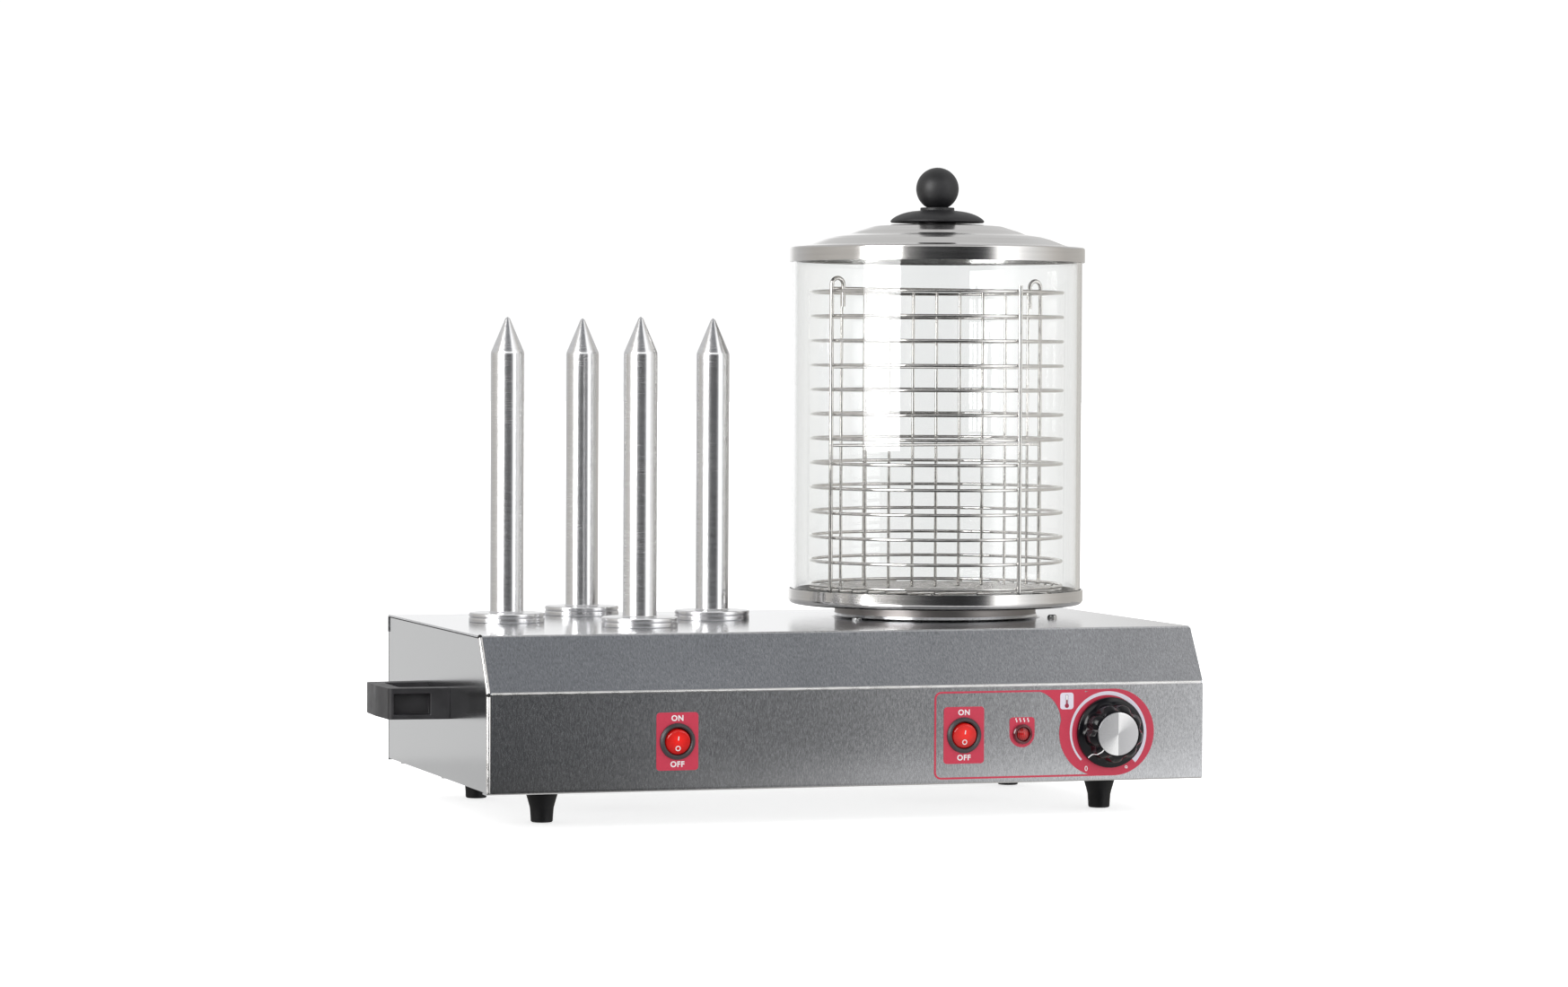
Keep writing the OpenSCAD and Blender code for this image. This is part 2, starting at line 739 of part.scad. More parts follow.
module thermostat_body() {
    color("#b9b4a6") on_front(knob_x, control_z) difference() {
        union() {
            translate([-thermostat_w / 2, -thermostat_w / 2, -sheet_t - thermostat_d])
                cube([thermostat_w, thermostat_w, thermostat_d]);
            translate([0, 0, -sheet_t - over]) cylinder(r = bush_r, h = sheet_t + over + bush_out);
        }
        translate([0, 0, -sheet_t - shaft_back - over])
            cylinder(r = shaft_r + bush_play, h = sheet_t + shaft_back + bush_out + 2 * over);
    }
}

module thermostat_nut() {
    color("gainsboro") on_front(knob_x, control_z) hex_nut(bush_nut_r, bush_r + play, bush_nut_h);
}

knob_gap = 1.2;
socket_wall = 2.5;
knob_wall = 2.2;
skirt_h = 3;
cap_t = 1.2;
shaft_end = knob_out - cap_t - knob_wall;

module thermostat_shaft() {
    color("gainsboro") on_front(knob_x, control_z) translate([0, 0, -sheet_t - shaft_back])
        cylinder(r = shaft_r, h = sheet_t + shaft_back + shaft_end - play);
}

// Knob: a round skirt, a grip with hollows, and a seat for the metal cap
grip_edge = 2;
grip_top_r = cap_r + grip_edge;
lobe_r = 6;
lobe_depth = 2.2;
// Room for a spanner's jaw round the thermostat's nut
nut_room = 2.5;
nut_room_r = bush_nut_r + nut_room;

module control_knob() {
    grip_low = knob_gap + skirt_h;
    seat_z = knob_out - cap_t / 2;
    hollow_h = knob_out - knob_gap - knob_wall - cap_t;
    color("#101012") on_front(knob_x, control_z) difference() {
        union() {
            translate([0, 0, knob_gap]) stepped_disc(skirt_r, skirt_h, bezel_cut);
            difference() {
                rotate_extrude() polygon([
                    [0, knob_gap], [grip_r, knob_gap], [grip_r, knob_out - 3 * bezel_cut],
                    [grip_top_r, seat_z], [cap_r + bezel_cut, seat_z], [0, seat_z]]);
                for (i = [0:lobes - 1]) rotate((i + 1 / 2) * 360 / lobes)
                    translate([grip_r + lobe_r - lobe_depth, 0, grip_low])
                        cylinder(r = lobe_r, h = knob_out);
            }
        }
        translate([0, 0, knob_out - cap_t]) cylinder(r = cap_r + play / 2, h = cap_t + over);
        translate([0, 0, knob_gap - over]) {
            ring(nut_room_r + socket_wall, shaft_r + socket_wall, hollow_h);
            cylinder(r = shaft_r + bush_play, h = shaft_end - knob_gap + over);
            cylinder(r = nut_room_r, h = bush_out + play + over);
        }
    }
}

module knob_cap() {
    color("gainsboro") on_front(knob_x, control_z) translate([0, 0, knob_out - cap_t])
        stepped_disc(cap_r, cap_t, bezel_cut / 2);
}

// Boiler: the neck above the top, the flange under it and the pot below
pot_gasket_t = 2;
pot_flange_w = 20;
pot_rim_z = top_z + neck_h;
pot_floor_z = pot_rim_z - pot_d;
pot_flange_z = top_z - sheet_t - pot_gasket_t - sheet_t;
neck_lip = 1.6;
stud_nut_h = 2.6;
stud_nut_r = 3.4;
heater_loop_r = 46;
heater_lift = 8;
heater_gap_angle = 32;
heater_tail = 10;
// Wall and radius of the bush on each end of the heater
heater_bush_t = 0.6;
heater_bush_r = heater_r + heater_bush_t;

// How much of a dome nut's height the stud fills
stud_share = 0.6;

module boiler_pot() {
    color("silver") at_boiler(0) {
        difference() {
            union() {
                translate([0, 0, pot_floor_z]) cylinder(r = neck_r, h = pot_d);
                translate([0, 0, pot_flange_z]) cylinder(r = neck_r + pot_flange_w, h = sheet_t);
            }
            translate([0, 0, pot_floor_z + sheet_t]) cylinder(r = neck_r - sheet_t, h = pot_d);
            for (a = [-1, 1]) rotate(a * heater_gap_angle / 2)
                translate([heater_loop_r, 0, pot_floor_z - over])
                    cylinder(r = heater_bush_r + play, h = sheet_t + 2 * over);
        }
        for (a = nut_angles) rotate(a) translate([nut_circle_r, 0, pot_flange_z])
            cylinder(r = stud_r, h = top_z - pot_flange_z + stud_nut_h * stud_share);
    }
}

module boiler_gasket() {
    color("darkorange") at_boiler(pot_flange_z + sheet_t) difference() {
        ring(neck_r + pot_flange_w, neck_r + play, pot_gasket_t);
        for (a = nut_angles) rotate(a) translate([nut_circle_r, 0, -over])
            cylinder(r = stud_r + play, h = pot_gasket_t + 2 * over);
    }
}

module dome_nut() {
    difference() {
        union() {
            cylinder(r = stud_nut_r, h = stud_nut_h * stud_share, $fn = 6);
            stepped_disc(stud_nut_r * cos(30), stud_nut_h, stud_nut_h / 4);
        }
        translate([0, 0, -over]) cylinder(r = stud_r + bush_play, h = stud_nut_h * stud_share + over + play);
    }
}

module boiler_nuts() {
    color("gainsboro") at_boiler(top_z) for (a = nut_angles) rotate(a) translate([nut_circle_r, 0, 0])
        dome_nut();
}

module heating_element() {
    loop_z = pot_floor_z + sheet_t + heater_lift + heater_r;
    color("dimgray") at_boiler(0) {
        translate([0, 0, loop_z]) rotate(heater_gap_angle / 2)
            rotate_extrude(angle = 360 - heater_gap_angle) translate([heater_loop_r, 0]) circle(heater_r);
        for (a = [-1, 1]) rotate(a * heater_gap_angle / 2)
            translate([heater_loop_r, 0, pot_floor_z - heater_tail])
                cylinder(r = heater_bush_r, h = loop_z + heater_bush_r - pot_floor_z + heater_tail);
    }
}

limiter_r = 8;
limiter_h = 10;
bulb_l = 60;
bulb_r = 3;
bulb_y_share = 0.45;

module overheat_limiter() {
    color("#d8d2c4") at_boiler(pot_floor_z - limiter_h) cylinder(r = limiter_r, h = limiter_h);
}

module thermostat_bulb() {
    color("peru") at_boiler(pot_floor_z - bulb_r) translate([-bulb_l / 2, -neck_r * bulb_y_share, 0])
        rotate([0, 90, 0]) cylinder(r = bulb_r, h = bulb_l);
}

// Tray that carries the glass, with a collar that drops into the neck
collar_d = 7;
tray_bend_r = 4;

module base_ring() {
    collar_r = neck_r - sheet_t - 2 * play;
    color("silver") at_boiler(tray_z) rotate_extrude() {
        difference() {
            translate([collar_r - sheet_t, 0]) square([tray_r - collar_r + sheet_t, tray_h]);
            translate([collar_r - sheet_t - over, sheet_t])
                square([tray_r - collar_r + over - tray_bend_r + sheet_t, tray_h + over]);
            translate([tray_r - tray_bend_r - over, tray_bend_r])
                square([tray_bend_r - sheet_t + over, tray_h + over]);
            translate([tray_r - tray_bend_r, tray_bend_r]) circle(tray_bend_r - sheet_t);
            difference() {
                translate([tray_r - tray_bend_r, -over]) square([tray_bend_r + over, tray_bend_r + over]);
                translate([tray_r - tray_bend_r, tray_bend_r]) circle(tray_bend_r);
            }
        }
        translate([collar_r - sheet_t, -collar_d]) square([sheet_t, collar_d + sheet_t]);
    }
}

// The seal under the glass, with its lower edge cut back over the tray's bend
module glass_gasket() {
    bend_x = tray_r - tray_bend_r;
    inner_bend_r = tray_bend_r - sheet_t;
    edge_z = inner_bend_r - sqrt(pow(inner_bend_r, 2) - pow(glass_r - bend_x, 2)) + play;
    inner = glass_r - 2 * glass_t;
    color("whitesmoke") at_boiler(tray_floor_z) rotate_extrude() polygon([
        [inner, 0], [bend_x, 0], [glass_r, edge_z], [glass_r, gasket_t], [inner, gasket_t]]);
}

module glass_cylinder() {
    color("#cfe6ee80") at_boiler(glass_z) ring(glass_r, glass_r - glass_t, glass_h);
}

// Lid: a rim over the glass, a step and a flat dome
lid_t = 1;
rim_cut = 1.2;
dome_shares = [
    [0.92, 0.03], [0.895, 0.06], [0.876, 0.09], [0.85, 0.15], [0.818, 0.23], [0.77, 0.35], [0.712, 0.46],
    [0.60, 0.575], [0.549, 0.71], [0.481, 0.85], [0.443, 0.93], [0.366, 0.98], [0.30, 1]];
function dome_points(drop) = [for (p = dome_shares) [p[0] * tray_r, rim_h + p[1] * dome_h - drop]];

module lid() {
    seat_z = lid_lap + seat_gap;
    seat_in = glass_r - 2 * glass_t;
    wall_r = tray_r - sheet_t;
    color("silver") at_boiler(lid_z) rotate_extrude() {
        difference() {
            polygon(concat([[0, 0], [tray_r, 0], [tray_r, rim_h - rim_cut], [tray_r - rim_cut, rim_h]],
                dome_points(0), [[0, rim_h + dome_h]]));
            polygon(concat([[0, -over], [wall_r, -over], [wall_r, rim_h - rim_cut - lid_t],
                [wall_r - rim_cut, rim_h - lid_t]], dome_points(lid_t), [[0, rim_h + dome_h - lid_t]]));
            translate([-over, rim_h]) square([lid_screw_r + play + over, dome_h + over]);
        }
        translate([seat_in, seat_z]) square([tray_r - sheet_t / 2 - seat_in, lid_t]);
    }
}

// Knob of the lid: a boss, a dish and a ball
knob_boss_r = 13.5;
knob_boss_h = 1.6;
dish_h = 8.4;
knob_neck_r = 11.8;
knob_neck_h = 2.2;
ball_steps = 20;
dish_steps = 6;
// Over 1 this makes the dish flatter than a quarter circle
dish_flatness = 1.4;
lid_screw_r = 2.5;
lid_screw_depth = 18;

module lid_knob() {
    ball_z = lid_knob_h - ball_r;
    dish_edge = knob_boss_h + lid_t;
    dish_top = knob_boss_h + dish_h;
    start = -asin((ball_z - dish_top - knob_neck_h) / ball_r);
    color("#161618") at_boiler(dome_top_z) difference() {
        rotate_extrude() polygon(concat(
            [[0, 0], [knob_boss_r, 0], [knob_boss_r, knob_boss_h],
                [dish_r - lid_t, knob_boss_h], [dish_r, dish_edge]],
            [for (i = [1:dish_steps - 1]) let (a = 90 * i / dish_steps) [
                knob_neck_r + (dish_r - knob_neck_r) * cos(a),
                dish_edge + (dish_top - dish_edge) * pow(sin(a), dish_flatness)]],
            [[knob_neck_r, dish_top], [knob_neck_r, dish_top + knob_neck_h]],
            [for (i = [0:ball_steps]) let (a = start + (90 - start) * i / ball_steps)
                [i == ball_steps ? 0 : ball_r * cos(a), ball_z + ball_r * sin(a)]]));
        translate([0, 0, -over]) cylinder(r = lid_screw_r, h = lid_screw_depth + over);
    }
}

module lid_knob_screw() {
    color("gainsboro") at_boiler(dome_top_z - lid_t - foot_head_h)
        screw(lid_screw_r, lid_screw_depth + lid_t - 2 * play, foot_head_r, foot_head_h);
}

// Basket: rings, uprights outside them, a floor below and a partition in the middle
ring_low_z = tray_floor_z + ring_rise;
ring_top_z = ring_low_z + (ring_count - 1) * ring_pitch;
upright_r = ring_r + ring_wire_r + upright_wire_r;
hook_r = 4.8;
hook_rise = 4.3;
hook_tail = 15;
upright_stub = 4;
// Places of the uprights round the basket, with hooks on the first and the third
upright_angles = [1, 91, 184, 275];

module at_basket() {
    translate([boiler_x, boiler_y, 0]) rotate(basket_turn) children();
}

module basket_rings() {
    color("lightgray") at_basket() for (i = [0:ring_count - 1])
        translate([0, 0, ring_low_z + i * ring_pitch]) rotate_extrude()
            translate([ring_r, 0]) circle(ring_wire_r);
}

// A round bar with a round end at its top
module wire_post(r, h) {
    cylinder(r = r, h = h);
    translate([0, 0, h]) sphere(r = r);
}

module basket_uprights() {
    low = tray_floor_z + seat_gap;
    color("lightgray") at_basket() for (i = [0:3]) rotate(upright_angles[i]) translate([upright_r, 0, low]) {
        if (i % 2 == 0) {
            arch_z = ring_top_z + hook_rise - low;
            cylinder(r = upright_wire_r, h = arch_z);
            translate([-hook_r, 0, arch_z]) rotate([90, 0, 0]) rotate_extrude(angle = 180)
                translate([hook_r, 0]) circle(upright_wire_r);
            translate([-2 * hook_r, 0, arch_z]) mirror([0, 0, 1]) wire_post(upright_wire_r, hook_tail);
        } else wire_post(upright_wire_r, ring_top_z + upright_stub - low);
    }
}

// A straight wire along X that ends inside a circle
module chord_wire(y, reach, r) {
    half = sqrt(reach * reach - y * y);
    translate([-half, y, 0]) rotate([0, 90, 0]) cylinder(r = r, h = 2 * half);
}

module basket_floor() {
    floor_z = ring_low_z - ring_wire_r - grid_wire_r;
    lines = floor((ring_r - grid_wire_r) / floor_pitch);
    color("lightgray") at_basket() {
        for (i = [-lines:lines]) translate([0, 0, floor_z])
            chord_wire(i * floor_pitch, ring_r, grid_wire_r);
        for (i = [-1, 1]) translate([0, 0, floor_z - 2 * grid_wire_r]) rotate(90)
            chord_wire(i * ring_r / 2, ring_r, grid_wire_r);
    }
}

partition_rise = 3;
rail_shares = [1, 0.74, 0.48];

module basket_partition() {
    low = ring_low_z - ring_wire_r;
    height = ring_top_z + partition_rise - low;
    reach = ring_r - ring_wire_r - play;
    color("lightgray") at_basket() {
        for (i = [0:grid_count - 1]) translate([(i - (grid_count - 1) / 2) * grid_pitch, 0, low])
            cylinder(r = grid_wire_r, h = height);
        for (share = rail_shares) translate([0, 0, low + share * height - grid_wire_r])
            chord_wire(-2 * grid_wire_r, reach, grid_wire_r);
    }
}

// Spikes, with the nuts and the cartridge heaters that hold and warm them
spike_edge = 0.8;
spike_foot_r = spike_r + spike_edge;
spigot_l = 16;
cartridge_r = 5;
cartridge_l = 110;
spike_nut_r = 13;
spike_nut_h = 6;

module spike(i) {
    cone_z = spike_h - point_l;
    color("#c9cacc") translate(spike_place(i)) translate([0, 0, top_z]) difference() {
        rotate_extrude() polygon([
            [0, -spigot_l], [spigot_r, -spigot_l], [spigot_r, 0], [spike_flange_r, 0],
            [spike_flange_r, spike_flange_h - spike_edge], [spike_flange_r - spike_edge, spike_flange_h],
            [spike_foot_r, spike_flange_h], [spike_r, spike_flange_h + spike_edge], [spike_r, cone_z],
            [tip_r, spike_h - tip_r], [tip_r * 0.8, spike_h - tip_r / 2],
            [tip_r * 0.5, spike_h - tip_r / 6], [0, spike_h]]);
        translate([0, 0, -spigot_l - over]) cylinder(r = cartridge_r + play / 2, h = cartridge_l + over);
    }
}

module left_spike() { spike(0); }

module back_spike() { spike(1); }

module front_spike() { spike(2); }

module right_spike() { spike(3); }

module spike_nuts() {
    color("gainsboro") for (i = [0:3]) translate(spike_place(i))
        translate([0, 0, top_z - sheet_t - spike_nut_h]) hex_nut(spike_nut_r, spigot_r + play, spike_nut_h);
}

module spike_heaters() {
    color("dimgray") for (i = [0:3]) translate(spike_place(i))
        translate([0, 0, top_z - spigot_l - 2 * play]) cylinder(r = cartridge_r, h = cartridge_l);
}

// Electrics at the back
terminal_w = 60;
terminal_d = 22;
terminal_h = 20;
terminal_back = 70;
pole_r = 3;
poles = 5;

module terminal_block() {
    pitch = terminal_w / poles;
    color("ivory") translate([-terminal_w / 2, back_y - terminal_back, base_z + sheet_t]) difference() {
        cube([terminal_w, terminal_d, terminal_h]);
        for (i = [0:poles - 1]) translate([(i + 1 / 2) * pitch, -over, terminal_h / 2]) rotate([-90, 0, 0])
            cylinder(r = pole_r, h = terminal_d + 2 * over);
    }
}

gland_thread_r = 8;
gland_head_r = 11;
gland_collar_h = 5;
gland_inside = 12;
gland_nut_r = 12;
gland_nut_h = 5;

module cable_gland() {
    color("#1b1b1d") on_back(gland_x, gland_z) difference() {
        union() {
            cylinder(r = gland_head_r, h = gland_collar_h, $fn = 6);
            translate([0, 0, gland_collar_h]) cylinder(
                r1 = gland_thread_r + play, r2 = gland_thread_r - play, h = gland_out - gland_collar_h);
            translate([0, 0, -gland_inside]) cylinder(r = gland_thread_r, h = gland_inside);
        }
        translate([0, 0, -gland_inside - over])
            cylinder(r = gland_bore_r, h = gland_inside + gland_out + 2 * over);
    }
}

module gland_nut() {
    color("#1b1b1d") on_back(gland_x, gland_z) translate([0, 0, -sheet_t - gland_nut_h])
        hex_nut(gland_nut_r, gland_thread_r + play, gland_nut_h);
}

housing_shell();
left_side_panel();
right_side_panel();
rear_panel();
base_plate();
rear_screws();
base_screws();
rubber_feet();
foot_screws();
foot_nuts();
left_handle();
right_handle();
handle_screws();
left_switch_label();
right_switch_label();
lamp_label();
dial_label();
left_switch_body();
left_rocker();
right_switch_body();
right_rocker();
pilot_lamp_body();
pilot_lamp_lens();
thermostat_body();
thermostat_nut();
thermostat_shaft();
control_knob();
knob_cap();
boiler_pot();
boiler_gasket();
boiler_nuts();
heating_element();
overheat_limiter();
thermostat_bulb();
base_ring();
glass_gasket();
glass_cylinder();
lid();
lid_knob();
lid_knob_screw();
basket_rings();
basket_uprights();
basket_floor();
basket_partition();
left_spike();
back_spike();
front_spike();
right_spike();
spike_nuts();
spike_heaters();
terminal_block();
cable_gland();
gland_nut();
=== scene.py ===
import json
import math

import bmesh
import bpy
from mathutils import Matrix, Vector


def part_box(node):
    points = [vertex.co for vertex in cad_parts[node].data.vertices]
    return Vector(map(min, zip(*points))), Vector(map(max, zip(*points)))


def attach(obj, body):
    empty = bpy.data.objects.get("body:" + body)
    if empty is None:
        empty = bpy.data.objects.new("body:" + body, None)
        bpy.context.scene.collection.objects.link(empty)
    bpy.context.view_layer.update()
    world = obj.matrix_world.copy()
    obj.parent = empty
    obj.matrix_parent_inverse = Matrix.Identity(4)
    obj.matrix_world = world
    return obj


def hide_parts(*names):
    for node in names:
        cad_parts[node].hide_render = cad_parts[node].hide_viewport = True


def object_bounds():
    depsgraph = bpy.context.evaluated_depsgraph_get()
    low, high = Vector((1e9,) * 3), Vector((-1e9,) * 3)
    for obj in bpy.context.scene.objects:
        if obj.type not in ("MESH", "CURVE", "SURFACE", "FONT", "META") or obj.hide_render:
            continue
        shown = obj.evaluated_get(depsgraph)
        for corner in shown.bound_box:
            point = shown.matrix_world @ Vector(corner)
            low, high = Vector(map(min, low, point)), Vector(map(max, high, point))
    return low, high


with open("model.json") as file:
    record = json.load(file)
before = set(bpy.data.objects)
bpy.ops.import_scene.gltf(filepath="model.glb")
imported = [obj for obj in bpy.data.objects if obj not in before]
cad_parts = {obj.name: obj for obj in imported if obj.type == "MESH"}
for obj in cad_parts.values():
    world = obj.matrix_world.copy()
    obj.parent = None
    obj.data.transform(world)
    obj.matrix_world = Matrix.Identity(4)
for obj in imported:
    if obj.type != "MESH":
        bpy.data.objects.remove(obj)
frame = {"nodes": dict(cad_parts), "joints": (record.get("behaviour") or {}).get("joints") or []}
CAD_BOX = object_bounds()
NODES = frame["nodes"]
TAU = 2 * math.pi


# Places and sizes read from the frame, in millimetres, as are the points of all pieces until make()

MM = 0.001


def box(node):
    low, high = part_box(node)
    return low / MM, high / MM


def middle(node):
    low, high = box(node)
    return (low + high) / 2


def size(node):
    low, high = box(node)
    return high - low


SHELL_LOW, SHELL_HIGH = box("housing_shell")
FRONT_Y = SHELL_LOW.y
SHEET = 1.2
TOP_Z = box("left_side_panel")[1].z + SHEET
FOLD_Z = SHELL_LOW.z + 65.8
RIDGE_Y = FRONT_Y + 23
BOILER = middle("glass_cylinder")
KNOB = middle("control_knob")
LAMP = middle("pilot_lamp_body")
FILM = size("dial_label").y
# Height of the printing over the front
PRINT = FILM + 0.05


# Node trees

class Tree:
    """Short calls for building nodes. An input takes a number, a colour or the output of another node."""

    def __init__(self, name, holder=None):
        self.holder = holder or bpy.data.materials.new(name)
        self.holder.use_nodes = True
        self.nodes = self.holder.node_tree.nodes

    def feed(self, node, inputs):
        for key, value in inputs.items():
            if isinstance(value, bpy.types.NodeSocket):
                self.holder.node_tree.links.new(value, node.inputs[key])
            else:
                node.inputs[key].default_value = value

    def add(self, kind, inputs=None, **settings):
        """Adds a node and gives its outputs."""
        made = self.nodes.new("ShaderNode" + kind)
        for key, value in settings.items():
            setattr(made, key, value)
        self.feed(made, inputs or {})
        return made.outputs

    def calc(self, operation, *values):
        return self.add("Math", dict(enumerate(values)), operation=operation)["Value"]

    def sum(self, a, b, share):
        """a plus b times a share."""
        return self.calc("MULTIPLY_ADD", b, share, a)

    def place(self, centre=(0, 0, 0), scale=(1, 1, 1)):
        """Object coordinates in metres, taken from a centre in millimetres and scaled."""
        here = self.add("TexCoord")["Object"]
        moved = [-c * MM * s for c, s in zip(centre, scale)]
        return self.add("Mapping", {"Vector": here, "Location": moved, "Scale": scale})["Vector"]

    def noise(self, vector, scale, detail=3.0, roughness=0.55):
        inputs = {"Vector": vector, "Scale": scale, "Detail": detail, "Roughness": roughness}
        return self.add("TexNoise", inputs)["Fac"]

    def spread(self, value, low, high, from_low=0.3, from_high=0.7, smooth=False):
        """Maps a value from one range onto another, low to high."""
        inputs = {"Value": value, "From Min": from_low, "From Max": from_high, "To Min": low, "To Max": high}
        curve = "SMOOTHSTEP" if smooth else "LINEAR"
        return self.add("MapRange", inputs, interpolation_type=curve)["Result"]

    def mix(self, factor, *colours):
        a, b = (c if isinstance(c, bpy.types.NodeSocket) else (*c, 1) for c in colours)
        return self.add("Mix", {"Factor": factor, "A": a, "B": b}, data_type="RGBA")["Result"]

    def rings(self, centre, scale_a, scale_r):
        """Coordinates round a vertical axis: the direction, and the radius with the height."""
        split = self.add("SeparateXYZ", {0: self.place(centre)})
        flat = self.add("CombineXYZ", {"X": split["X"], "Y": split["Y"]})["Vector"]
        radius = self.add("VectorMath", {0: flat}, operation="LENGTH")["Value"]
        unit = self.add("VectorMath", {0: flat}, operation="NORMALIZE")["Vector"]
        turned = self.add("VectorMath", {0: unit, "Scale": scale_a}, operation="SCALE")["Vector"]
        along = self.calc("MULTIPLY", radius, scale_r)
        up = self.calc("MULTIPLY", split["Z"], scale_r)
        way = self.add("SeparateXYZ", {0: turned})
        inputs = {"X": way["X"], "Y": way["Y"], "Z": self.calc("ADD", along, up)}
        return self.add("CombineXYZ", inputs)["Vector"]

    def finish(self, colour, rough, bump=None, **values):
        """Fills in the surface shader; bump is (height, strength, distance)."""
        inputs = {key.replace("_", " "): value for key, value in values.items()}
        inputs.update({"Base Color": colour, "Roughness": rough})
        if bump:
            relief = dict(zip(("Height", "Strength", "Distance"), bump))
            inputs["Normal"] = self.add("Bump", relief)["Normal"]
        self.feed(self.nodes["Principled BSDF"], inputs)
        return self.holder

    def metal(self, shade, colour, contrast, rough, colour_range, rough_range, bump):
        """Metal that a low shade makes darker and smoother, and a high one brighter and rougher."""
        dark = [c * (1 - contrast) for c in colour]
        bright = [min(1, c * (1 + contrast)) for c in colour]
        tone = self.mix(self.spread(shade, 0.0, 1.0, *colour_range), dark, bright)
        roughness = self.spread(shade, rough * 0.85, rough * 1.2, *rough_range)
        return self.finish(tone, roughness, bump, Metallic=1.0)


# Materials

def brushed_steel(name, grain, colour=(0.57, 0.575, 0.59), rough=0.17, shift=0.0, contrast=0.10):
    """Sheet steel with short straight grain; grain is the scale of the grain along each axis."""
    t = Tree(name)
    lines = t.noise(t.place((shift, shift, shift), grain), 1.0, 3.0, 0.6)
    shade = t.sum(lines, t.noise(t.place(), 11.0), 0.3)
    return t.metal(shade, colour, contrast, rough, (0.4, 0.9), (0.4, 0.9), (lines, 0.025, 0.0001))


def spun_metal(name, centre, colour, rough, lines_per_m, bump, contrast=0.04):
    """Metal turned or spun round a vertical axis, with fine rings."""
    t = Tree(name)
    lines = t.noise(t.rings(centre, 1.2, lines_per_m), 1.0, 3.0, 0.6)
    shade = t.sum(lines, t.noise(t.place(), 14.0), 0.4)
    return t.metal(shade, colour, contrast, rough, (0.5, 0.95), (0.45, 1.0), (lines, bump, 0.0002))


def radial_aluminium_painted_highlight(name, centre):
    """Aluminium brushed straight out from the middle of a disc that faces the front, with two bright wedges
    painted on as its highlight.
    """
    t = Tree(name)
    split = t.add("SeparateXYZ", {0: t.place(centre)})
    angle = t.calc("ARCTAN2", split["Z"], split["X"])
    rays = t.noise(t.add("CombineXYZ", {"X": angle})["Vector"], 120.0, 4.0, 0.7)
    # Painted highlight: bright at 12 and at 6 o'clock, fading clockwise from each
    half_turn = t.calc("FLOORED_MODULO", t.calc("MULTIPLY_ADD", angle, -1 / math.pi, 0.5), 1.0)
    painted_highlight_wedge = t.spread(half_turn, 1.0, 0.0, 0.0, 0.42, True)
    shade = t.sum(painted_highlight_wedge, t.spread(rays, -1.0, 1.0), 0.12)
    tone = t.mix(shade, (0.52, 0.52, 0.53), (0.98, 0.98, 0.98))
    return t.finish(tone, t.spread(rays, 0.22, 0.38), (rays, 0.05, 0.0001), Metallic=1.0)


def bright_metal(name, colour, rough):
    """Drawn wire, screws and other bright metal, faintly smudged."""
    t = Tree(name)
    clouds = t.noise(t.place(), 160.0)
    tone = t.mix(t.spread(clouds, 0.0, 1.0), [c * 0.85 for c in colour], colour)
    relief = (t.noise(t.place(), 900.0, 2.0), 0.03, 0.0002)
    return t.finish(tone, t.spread(clouds, rough * 0.7, rough * 1.5), relief, Metallic=1.0)


def plastic(name, colour, rough, texture_scale=2200.0, texture=0.12, coat=0.0, shine=0.5):
    """Moulded plastic or rubber with its fine surface texture."""
    t = Tree(name)
    clouds = t.noise(t.place(), 60.0)
    tone = t.mix(t.spread(clouds, 0.0, 1.0), [c * 0.8 for c in colour], [min(1, c * 1.2) for c in colour])
    relief = (t.noise(t.place(), texture_scale, 2.0), texture, 0.0002)
    return t.finish(tone, t.spread(clouds, rough * 0.85, rough * 1.2), relief,
                    Coat_Weight=coat, Coat_Roughness=0.05, IOR=1.5, Specular_IOR_Level=shine)


def printed(name, colour, rough=0.5):
    """Printed film: an even colour with the faint mottle of ink."""
    t = Tree(name)
    mottle = t.noise(t.place(), 700.0, 4.0)
    tone = t.mix(t.spread(mottle, 0.0, 1.0), [c * 0.92 for c in colour], colour)
    return t.finish(tone, t.spread(mottle, rough * 0.9, rough * 1.15), (mottle, 0.04, 0.0001),
                    IOR=1.45, Coat_Weight=0.15, Coat_Roughness=0.3)


def red_glow_and_painted_light(name, centre, reach, bright, dark, glow, ribs=0.0):
    """Clear red plastic that glows and is painted brighter round a centre; ribs is the share of its upright
    ribs, painted on as lighter and darker stripes. On the pilot lamp the glow stands for its lamp; on the
    rockers the glow and the brighter middle are a painted glow and highlight.
    """
    t = Tree(name)
    # Painted light: bright at the centre, fading to the dark colour at reach, and glowing with it
    distance = t.add("VectorMath", {0: t.place(centre)}, operation="LENGTH")["Value"]
    fade = t.spread(distance, 1.0, 0.0, 0.0, reach * MM)
    grain = t.noise(t.place(), 500.0, 2.0)
    factor = t.sum(fade, t.spread(grain, -1.0, 1.0), 0.06)
    # Painted shading of the ribs: lighter and darker upright stripes
    if ribs:
        split = t.add("SeparateXYZ", {0: t.place(centre, (4800, 4800, 4800))})
        factor = t.sum(factor, t.calc("SINE", split["X"]), ribs)
    colour = t.mix(factor, dark, bright)
    return t.finish(colour, t.spread(grain, 0.12, 0.22), IOR=1.5, Coat_Weight=0.2, Coat_Roughness=0.08,
                    Emission_Color=colour, Emission_Strength=glow)


def clear_glass(name):
    t = Tree(name)
    haze = t.noise(t.place(), 30.0, 2.0)
    tint = t.mix(haze, (0.975, 0.99, 0.985), (1.0, 1.0, 1.0))
    return t.finish(tint, t.spread(haze, 0.0, 0.012), Transmission_Weight=1.0, IOR=1.47)


